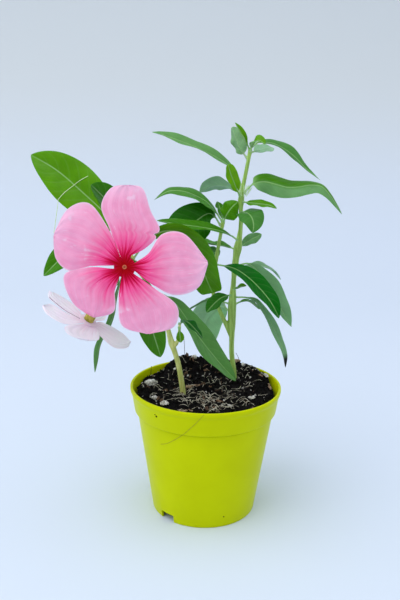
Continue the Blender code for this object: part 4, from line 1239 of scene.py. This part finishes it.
def fine_leaf(name, rows=60, columns=18):
    """A leaf with its stalk, and how far along it and across it each of its points is."""
    share, spine, out, away, up, blade = leaf_frame(name, rows)
    flare = np.concatenate([[0.8, 0.5, 0.25], np.zeros(rows)])
    stalk = STALK * np.clip(1 - share * 1.1, 0.15, 1) * (1 + flare)
    half = np.maximum(blade, stalk * np.clip((1 - share) / 0.06, 0.1, 1))
    leafy = np.clip(blade / ALL_BLADE, 0, 1)
    side = np.linspace(-1, 1, columns + 1)
    side = np.sin(side * math.pi / 2) * 0.35 + side * 0.65
    phase = draw.uniform(0, math.tau)

    def sheet(v, thickness, rib):
        """A surface over the blade, raised by its thickness and by a rib or a groove along the midrib."""
        along, wide, flat, thin = (values[:, None] for values in (share, half, leafy, stalk))
        fold = np.sqrt(v**2 + FOLD_SOFTNESS) - math.sqrt(FOLD_SOFTNESS)
        fold = fold / (math.sqrt(1 + FOLD_SOFTNESS) - math.sqrt(FOLD_SOFTNESS)) * flat
        body = v[:, None] * out[:, None] + fold[..., None] * away[:, None]
        wave = np.sin(along * WAVES + phase + 1.5 * np.sign(v)) * v**2 * WAVE_DEPTH * wide * flat
        bulge = BULGE * np.sin(math.pi * abs(v)) * wide * flat
        round_stalk = thin * np.sqrt(np.clip(1 - v**2, 0, 1))
        flat_blade = BLADE * np.sqrt(np.clip(1 - v**6, 0, 1))
        thick = round_stalk * (1 - flat) + flat_blade * flat
        ridge = np.exp(-((v * wide / RIB_WIDTH) ** 2)) * flat * (1.1 - along)
        height = wave + bulge + thickness * thick + rib * ridge
        return spine[:, None] + wide[..., None] * body + height[..., None] * up[:, None]

    top = sheet(side, 1.0, -GROOVE_DEPTH)
    under = sheet(side[1:-1], -1.0, -RIB_HEIGHT)[:, ::-1]
    rings = np.concatenate([top, under], axis=1)
    points, faces = skin(rings)
    v = np.concatenate([side, side[-2:0:-1]])
    uv = np.stack(np.broadcast_arrays(share[:, None], (v[None] + 1) / 2), axis=-1).reshape(-1, 2)
    ring_size = 2 * columns
    worn = [0 if k % ring_size < columns else 1 for k in range((len(share) - 1) * ring_size)] + [1, 1]
    made = piece(name + "_blade", points, faces, [leaf_top, leaf_under], worn=worn, uv=uv)
    paint(made, "half_width", np.repeat(half, rings.shape[1]))
    return made, uv[:, 0], uv[:, 1]


# %% [markdown]
# Young leaves are yellow-green and the oldest are nearly black-green, so each leaf gets its own tone. Some are
# paler and greyer than their tone says, with a bloom of wax, and get a second number for it; the same number
# also paints sheen and light onto leaves and halves that lie in shade. A pair of numbers is one for each half of
# the blade, where light falls on the halves differently. A third number paints shade onto a leaf that lies in
# the dark, or paints light onto it where it's below 0, as on the pale leaf behind the stems, which light falls
# through. The same number blackens the dry tip of one low leaf of the right-hand plant, which is dying back.
# %% Make every leaf
TONES = {
    "leaf_left_1": 0.65, "leaf_left_2": 0.0, "leaf_left_3": 0.35, "leaf_left_4": 0.3, "leaf_left_5": 0.4,
    "leaf_left_6": 0.4, "leaf_left_7": 0.3, "leaf_left_8": 0.6, "leaf_left_9": 0.2,
    "leaf_right_4": 0.1, "leaf_right_6": 0.5, "leaf_right_7": 0.15, "leaf_right_12": 0.5,
    "leaf_right_13": 0.2, "leaf_right_14": 0.35, "leaf_right_15": 0.4, "leaf_right_17": 1.0,
    "leaf_right_18": 0.2, "leaf_right_20": 0.5, "leaf_right_21": 0.75, "leaf_right_22": 0.7,
    "leaf_side_1": 0.0, "leaf_side_3": 0.1, "leaf_side_6": 0.4,
}
# shares of the pale wax colour: partly a real bloom of wax, partly painted sheen and light on leaves and halves
# in shade
WAX_AND_PAINTED_LIGHT_SHARES = {
    "leaf_left_3": 0.2, "leaf_left_5": 0.3,
    "leaf_right_1": 0.75, "leaf_right_5": 0.6, "leaf_right_7": 0.46, "leaf_right_8": 0.7,
    "leaf_right_10": 0.35, "leaf_right_13": 0.1, "leaf_right_14": (0.35, 0.0), "leaf_right_15": 0.3,
    "leaf_right_16": 0.65, "leaf_right_18": 0.12, "leaf_right_19": 0.85, "leaf_right_20": 0.3,
    "leaf_side_2": 0.4, "leaf_side_4": 0.1,
}
# painted shade on a leaf in the dark, and below 0 painted light on a leaf that light falls through; a pair is
# one for each half
PAINTED_SHADE_AND_LIGHT = {"leaf_left_2": 0.15, "leaf_right_1": (-0.9, -0.2)}
WITHERED, DRY_FROM, DRY_OVER = "leaf_right_5", 0.85, 0.06
USUAL_TONE = 0.3
YOUNG = 0.58


def by_halves(values, across):
    """One value all over a leaf, or a value for each half, which meet along the midrib."""
    first, other = np.broadcast_to(values, 2)
    return first + (other - first) * np.clip(4 * across - 1.5, 0, 1)


for name in leaves:
    leaf, along, across = fine_leaf(name)
    tone = TONES.get(name, USUAL_TONE)
    # dark is the painted shade and light, and on the withered leaf its dry tip instead
    dark = by_halves(PAINTED_SHADE_AND_LIGHT.get(name, 0.0), across)
    if name == WITHERED:
        dark = np.clip((along - DRY_FROM) / DRY_OVER, 0, 1)
    paint(leaf, "tone", tone)
    paint(leaf, "wax", by_halves(WAX_AND_PAINTED_LIGHT_SHARES.get(name, 0.0), across))
    paint(leaf, "wither", dark)
    settle(leaf, "leaf_young" if tone > YOUNG else "leaf_green", name)
print("leaves made:", len(leaves), "faces each:", len(leaf.data.polygons))

# %% [markdown]
# A pale thread, a hair or a strand of silk, lies across the largest leaf of the left plant and hangs off its
# edge. Its places on the leaf are found by dropping rays from the front onto the leaf's mesh.
# %% Lay the thread
THREAD_LEAF = "leaf_left_8"
THREAD = ((-55.4, 167.6), (-59.0, 165.6), (-62.7, 162.8), (-66.3, 159.9), (-69.0, 156.9))
THREAD_HANGS = 15.0 * MM
THREAD_SWAY = -2.4 * MM
LYING_CLEAR = 0.12 * MM


def laid_on(name, route, eye=None, depth=0.0, steps=24):
    """A line on a piece, from places (x, z) in mm at a depth, seen from the front or from an eye."""
    tree = BVHTree.FromObject(bpy.data.objects[name], bpy.context.evaluated_depsgraph_get())
    line = []
    for x, z in smooth(route, np.linspace(0, len(route) - 1, steps)):
        spot = Vector((x, depth, z)) * MM
        start = Vector(eye) if eye else Vector((spot.x, -0.1, spot.z))
        way = (spot - start).normalized() if eye else Vector((0, 1, 0))
        hit = tree.ray_cast(start, way)[0]
        if hit:
            line.append(hit - way * LYING_CLEAR)
    return line


line = laid_on(THREAD_LEAF + "_blade", THREAD)
end = line[-1]
for k in range(1, 12):
    fall = k / 11
    line.append(end + Vector((THREAD_SWAY * fall, -0.3 * MM, -THREAD_HANGS * fall**0.9 - 0.4 * MM)))
settle(threads("silk_thread", [line], 0.16 * MM, silk, thin_to=0.15), "root_fibre")

# %% [markdown]
# A tuft of pale bristles stands at one node of the right-hand plant, where a pair of leaves has only just
# begun to grow. Each bristle leaves the node in its own direction and curls up a little.
# %% Stand bristles at a node
BRISTLE_NODE = np.array((16.1, 12.6, 158.6)) * MM
BRISTLES, NODE_RADIUS, CURL = 34, 1.5 * MM, 0.5 * MM
lines = []
for _ in range(BRISTLES):
    turn, rise, length = draw.uniform(0, math.tau), draw.uniform(0.5, 1.25), draw.uniform(2.2, 4.6) * MM
    lean = np.array((math.cos(turn) * math.cos(rise), math.sin(turn) * math.cos(rise), math.sin(rise)))
    foot = BRISTLE_NODE + NODE_RADIUS * np.array((math.cos(turn), math.sin(turn), draw.uniform(-1, 1)))
    lines.append([foot + lean * length * share + (0, 0, CURL * share**2) for share in np.linspace(0, 1, 6)])
settle(threads("node_bristles", lines, 0.12 * MM, silk, thin_to=0.2), "stem_green")

# %% [markdown]
# ## The blooms
# A periwinkle's flower is one piece in nature: a thin tube that opens into five flat petals. Each petal is
# known by its outline: two edges that run up from the throat and meet at the tip. Rungs between the edges
# give the rows of the petal's skin. It bows forward a little, and its end bends back. All places are in
# millimetres, and those of a petal count from the throat, rightwards and up on the bloom's face.
# %% The outlines of the petals
BLOOMS = {
    "main": {
        "throat": (-34.8, -46, 134.1),
        "base": (-34.7, -25.5, 131.5),
        "reflex": 1.6,
        "swelling": 1.9,
        "petals": (
            # one edge, the other edge, tip
            (
                ((-2, 5), (-6.5, 16), (-10, 25), (-6, 32.5)),
                (
                    (3, 5), (7.6, 7.3), (12.2, 11.2), (13, 12.9), (12, 13.9),
                    (14.1, 14.8), (14, 17.5), (10.6, 23.5), (7.2, 32.5),
                ),
                (1, 34),
            ),
            (
                ((-5, 0.5), (-14, 0), (-23, -2.3), (-29, 3)),
                ((-2.5, 6), (-7, 16), (-15, 26), (-24, 23.5)),
                (-30, 13),
            ),
            (
                ((-2, -4), (-4, -10), (-4.5, -19)),
                ((-5, -0.8), (-15, -0.5), (-25.5, -4), (-22, -15.5)),
                (-13, -22),
            ),
            (
                ((4, -2.8), (12, -8.3), (22, -16), (21, -25)),
                ((-1.5, -5), (-2.5, -14), (-1, -25)),
                (10, -28.5),
            ),
            (
                ((4.5, 2), (10, 6), (15.5, 14), (25, 14)),
                ((4.5, -1.8), (11, -6.8), (21, -11.5), (31, -8)),
                (35, 2.5),
            ),
        ),
    },
    "pale": {
        "throat": (-55.2, -18, 101.9),
        "base": (-42.5, -21.8, 123.5),
        "reflex": 0.8,
        "swelling": 2.4,
        "petals": (
            (((4, 2), (6, 10), (5, 20)), ((0, 3), (-4, 9), (-3.5, 19)), (0, 23.5)),
            (((5, 0.5), (15.5, 4.5), (18, 12.5)), ((3.5, 2), (6.5, 9.5), (8, 16.5)), (15, 18)),
            (((1, -3), (1.8, -7), (8.5, -10.8)), ((4.5, 0), (16, 3.5), (20.8, 0.5), (19, -4.5)), (14, -8.5)),
            (((-1.5, -2), (-7.5, -5), (-10.3, -15)), ((1, -3), (4.5, -9), (6, -18), (-1, -22)), (-8, -21)),
            (((-2, 3), (-10, 9), (-17, 7.5)), ((-3, -1.5), (-10, -4), (-17, -1.5)), (-20, 3)),
        ),
    },
}
print("petals:", {name: len(bloom["petals"]) for name, bloom in BLOOMS.items()})


# %% Skin a petal
PETAL_REACH = 36 * MM
PETAL_THICKNESS = 0.2 * MM
BOW, CUP, CREASE, FLUTTER = 0.8 * MM, 0.8 * MM, 0.14 * MM, 0.5 * MM


def bloom_axes(bloom):
    """The way a bloom faces, and the right and up directions on its face."""
    facing = unit(np.array(bloom["throat"]) - np.array(bloom["base"]))
    right = unit(np.cross((0, 0, 1), facing))
    return facing, right, np.cross(facing, right)


def petal_skin(bloom, outline, number, rows=48, columns=24):
    """Rings, pattern places and nearness to the rim of one petal of a bloom."""
    facing, right, up = bloom_axes(bloom)
    one, other, tip = outline
    edges = [curve_through(np.array([*edge, tip], float), rows) for edge in (one, other)]
    inward = np.linspace(0.3, 0.98, 6)[:, None]
    edges = [np.concatenate([edge[0] * inward, edge[:-1]]) * MM for edge in edges]
    share = np.concatenate([np.zeros(len(inward)), np.arange(rows) / rows])
    side = np.linspace(0, 1, columns + 1)
    flat = edges[0][:, None] * (1 - side)[None, :, None] + edges[1][:, None] * side[None, :, None]
    reach = np.linalg.norm(flat, axis=2)
    bow = BOW * np.sin(math.pi * share)[:, None] - bloom["reflex"] * MM * (reach / (32 * MM)) ** 2
    cupped = CUP * (2 * side - 1) ** 2 * np.sin(math.pi * np.minimum(1, 1.1 * share))[:, None]
    crease = CREASE * np.cos(side * 30 + number)[None, :] * np.clip(reach / (20 * MM), 0, 1)
    flutter = FLUTTER * np.sin(side * 9 + 2.1 * number)[None, :] * np.clip(share - 0.45, 0, 1)[:, None]
    height = bow - cupped + crease + flutter
    thick = PETAL_THICKNESS * np.sqrt(np.clip(1 - (2 * side - 1) ** 8, 0, 1))
    base = np.array(bloom["throat"]) * MM + flat[..., :1] * right + flat[..., 1:] * up
    front = base + (height + thick)[..., None] * facing
    back = (base + (height - thick)[..., None] * facing)[:, -2:0:-1]

    def round_ring(values):
        """A value of the front's points, repeated for the points behind them."""
        values = np.broadcast_to(values, reach.shape)
        return np.concatenate([values, values[:, -2:0:-1]], axis=1).ravel()

    uv = np.stack([round_ring(side + number), round_ring(reach / PETAL_REACH)], axis=-1)
    rim = round_ring(np.maximum(abs(2 * side - 1), share[:, None]) * np.clip(share[:, None] * 4, 0, 1))
    return np.concatenate([front, back], axis=1), uv, rim


# %% Join five petals
def make_corolla(name, bloom, front, back):
    """The five petals of a bloom as one piece, with their own finish on the front and on the back."""
    points, faces, uv, rim, worn, start = [], [], [], [], [], 0
    for number, outline in enumerate(bloom["petals"]):
        rings, places, margins = petal_skin(bloom, outline, number)
        some, quads = skin(rings)
        faces += [tuple(start + k for k in quad) for quad in quads]
        size = rings.shape[1]
        worn += [0 if k % size < size // 2 else 1 for k in range((len(rings) - 1) * size)] + [0, 0]
        points.append(some)
        uv.append(places)
        rim.append(margins)
        start += len(some)
    made = piece(name, np.concatenate(points), faces, [front, back], worn=worn, uv=np.concatenate(uv))
    paint(made, "rim", np.concatenate(rim))
    return made


# %% [markdown]
# The tube runs from the calyx to the throat and swells just behind it. At the throat it flares into a small
# disc, which the petals' feet share, with a raised ring round the narrow mouth. All of that is round, so it is
# turned about the bloom's axis. The disc takes the petals' own pattern, whose middle is the crimson eye.
# %% The tubes and their mouths
def turned(name, bloom, stations, finish, turns=40):
    """A closed piece turned about a bloom's axis, from (distance in front of the throat, radius) in mm."""
    facing, right, up = bloom_axes(bloom)
    angles = np.linspace(0, math.tau, turns, endpoint=False)[:, None]
    around = np.cos(angles) * right + np.sin(angles) * up
    profile = smooth(stations, np.linspace(0, len(stations) - 1, 5 * len(stations))) * MM
    ahead, radii = profile.T
    radii = np.maximum(radii, 0.05 * MM)
    rings = np.array(bloom["throat"]) * MM + ahead[:, None, None] * facing + radii[:, None, None] * around
    turn = np.linspace(0, 5, turns, endpoint=False)
    uv = np.stack(np.broadcast_arrays(turn, (radii / PETAL_REACH)[:, None]), axis=-1).reshape(-1, 2)
    made = piece(name, *skin(rings), [finish], uv=uv, sharp=80)
    paint(made, "rim", 0.0)
    return made


def tube_stations(bloom):
    """A thin tube from the calyx on, which swells near the throat and is closed under the disc."""
    length = np.linalg.norm(np.array(bloom["throat"]) - np.array(bloom["base"]))
    wide = bloom["swelling"]
    stations = ((-1, 1.15), (-0.75, 1.15), (-0.45, 1.25), (-0.22, wide - 0.3), (-0.1, wide))
    stations = [(share * length, radius) for share, radius in stations]
    return stations + [(-1.2, wide - 0.1), (-0.7, 2.4), (-0.6, 1.0)]


# %% Make both blooms
MOUTH = (
    (-0.9, 0.15), (-0.4, 0.3), (0.1, 0.45), (0.3, 0.65), (0.2, 0.9), (0.05, 1.5),
    (0.0, 3.2), (-0.1, 4.3), (-0.35, 4.4), (-0.5, 3.0), (-0.8, 0.8),
)
BLOOM_FINISHES = {
    # front, back, tube, slot
    "main": (petal_pink, petal_back, petal_back, "petal_pink"),
    "pale": (petal_pale, petal_pale, tube_skin, "petal_pale"),
}
for name, bloom in BLOOMS.items():
    front, back, tube_finish, slot = BLOOM_FINISHES[name]
    corolla = settle(make_corolla(f"corolla_{name}", bloom, front, back), slot, "bloom_" + name)
    tube = settle(turned(f"tube_{name}", bloom, tube_stations(bloom), tube_finish), slot)
    settle(turned(f"mouth_{name}", bloom, MOUTH, front), slot)
    print(corolla.name, len(corolla.data.polygons), "faces;", tube.name, len(tube.data.polygons), "faces")

# %% [markdown]
# Where two petals of the fading bloom lie over each other, a thin mauve line is laid between them: the upper
# petal's dried edge, with painted shade where that edge is seen edge-on. It is laid on the petals' front as the
# thread was laid on its leaf, this time along the camera's own lines of sight.
# %% Lay the line between two petals
PETAL_LINE = ((-72.4, 113.3), (-68.7, 110.1), (-65.1, 107.2), (-61.1, 104.9), (-58, 103.2))
line = laid_on("corolla_pale", PETAL_LINE, eye=CAMERA_PLACE, depth=-20.0)
settle(threads("petal_line", [line], 0.14 * MM, mauve_line, thin_to=0.8), "petal_pale")

# %% [markdown]
# ## The stage and the light
# A pale sweep, a floor that curves up into a wall, hides the horizon, as a roll of paper does in a studio. Its
# colour is a little bluer on the floor than up the wall.
# %% Roll out the sweep
SWEEP_FRONT, SWEEP_BACK, SWEEP_CURVE, SWEEP_TOP, SWEEP_WIDE = -1.2, 0.9, 0.5, 1.6, 1.6
profile = [(SWEEP_FRONT, 0.0)]
for bend in np.linspace(0, math.pi / 2, 16):
    back = SWEEP_BACK - SWEEP_CURVE + SWEEP_CURVE * math.sin(bend)
    profile.append((back, SWEEP_CURVE * (1 - math.cos(bend))))
profile.append((SWEEP_BACK, SWEEP_TOP))
points = [(x, y, z) for y, z in profile for x in (-SWEEP_WIDE, SWEEP_WIDE)]
faces = [(2 * k, 2 * k + 1, 2 * k + 3, 2 * k + 2) for k in range(len(profile) - 1)]
mesh = bpy.data.meshes.new("sweep")
mesh.from_pydata(points, [], faces)
mesh.shade_smooth()
paper, tree, shader = material("sweep_paper", 0.9)
place = add(tree, "ShaderNodeTexCoord").outputs["Object"]
above = ramp(tree, add(tree, "ShaderNodeSeparateXYZ", {0: place}).outputs[2], 0.02, 0.25)
tree.links.new(mixed(tree, above, colour(212, 222, 236), colour(212, 218, 221)), shader.inputs["Base Color"])
mesh.materials.append(paper)
placed("sweep", mesh)
print("sweep:", len(faces), "faces")

# %% [markdown]
# The sky is an even pale blue-white that is a little brighter behind and above, so most of the light is soft.
# One large round lamp from the upper left gives the forms a little shape.
# %% Light it
SKY_BRIGHTEST = tuple(unit((-0.25, 0.35, 0.9)))
SKY_STRENGTHS = (0.48, 1.36)
LAMP_PLACE, LAMP_AIM = Vector((-0.6, -0.5, 1.3)), Vector((0, 0, 0.1))
LAMP_SIZE, LAMP_POWER = 1.2, 5.6
world = bpy.data.worlds.new("sky")
bpy.context.scene.world = world
world.use_nodes = True
tree = world.node_tree
toward = add(tree, "ShaderNodeTexCoord").outputs["Generated"]
brightest = add(tree, "ShaderNodeVectorMath", {0: toward, 1: SKY_BRIGHTEST}, operation="DOT_PRODUCT")
strength = ramp(tree, brightest.outputs["Value"], -0.4, 0.9, *SKY_STRENGTHS)
tree.nodes["Background"].inputs["Color"].default_value = colour(242, 247, 255)
tree.links.new(strength, tree.nodes["Background"].inputs["Strength"])

lamp = placed("key", bpy.data.lights.new("key", "AREA"))
lamp.data.shape = "DISK"
lamp.data.size = LAMP_SIZE
lamp.data.energy = LAMP_POWER
lamp.location = LAMP_PLACE
lamp.rotation_euler = (LAMP_AIM - LAMP_PLACE).to_track_quat("-Z", "Y").to_euler()
bpy.context.scene.view_settings.view_transform = "Standard"
print("lamps:", len(bpy.data.lights))

# %% [markdown]
# ## Clearing up
# The copy of the soil that carried the crumbs is removed.
# %% Remove the soil's copy
bpy.data.objects.remove(bed)
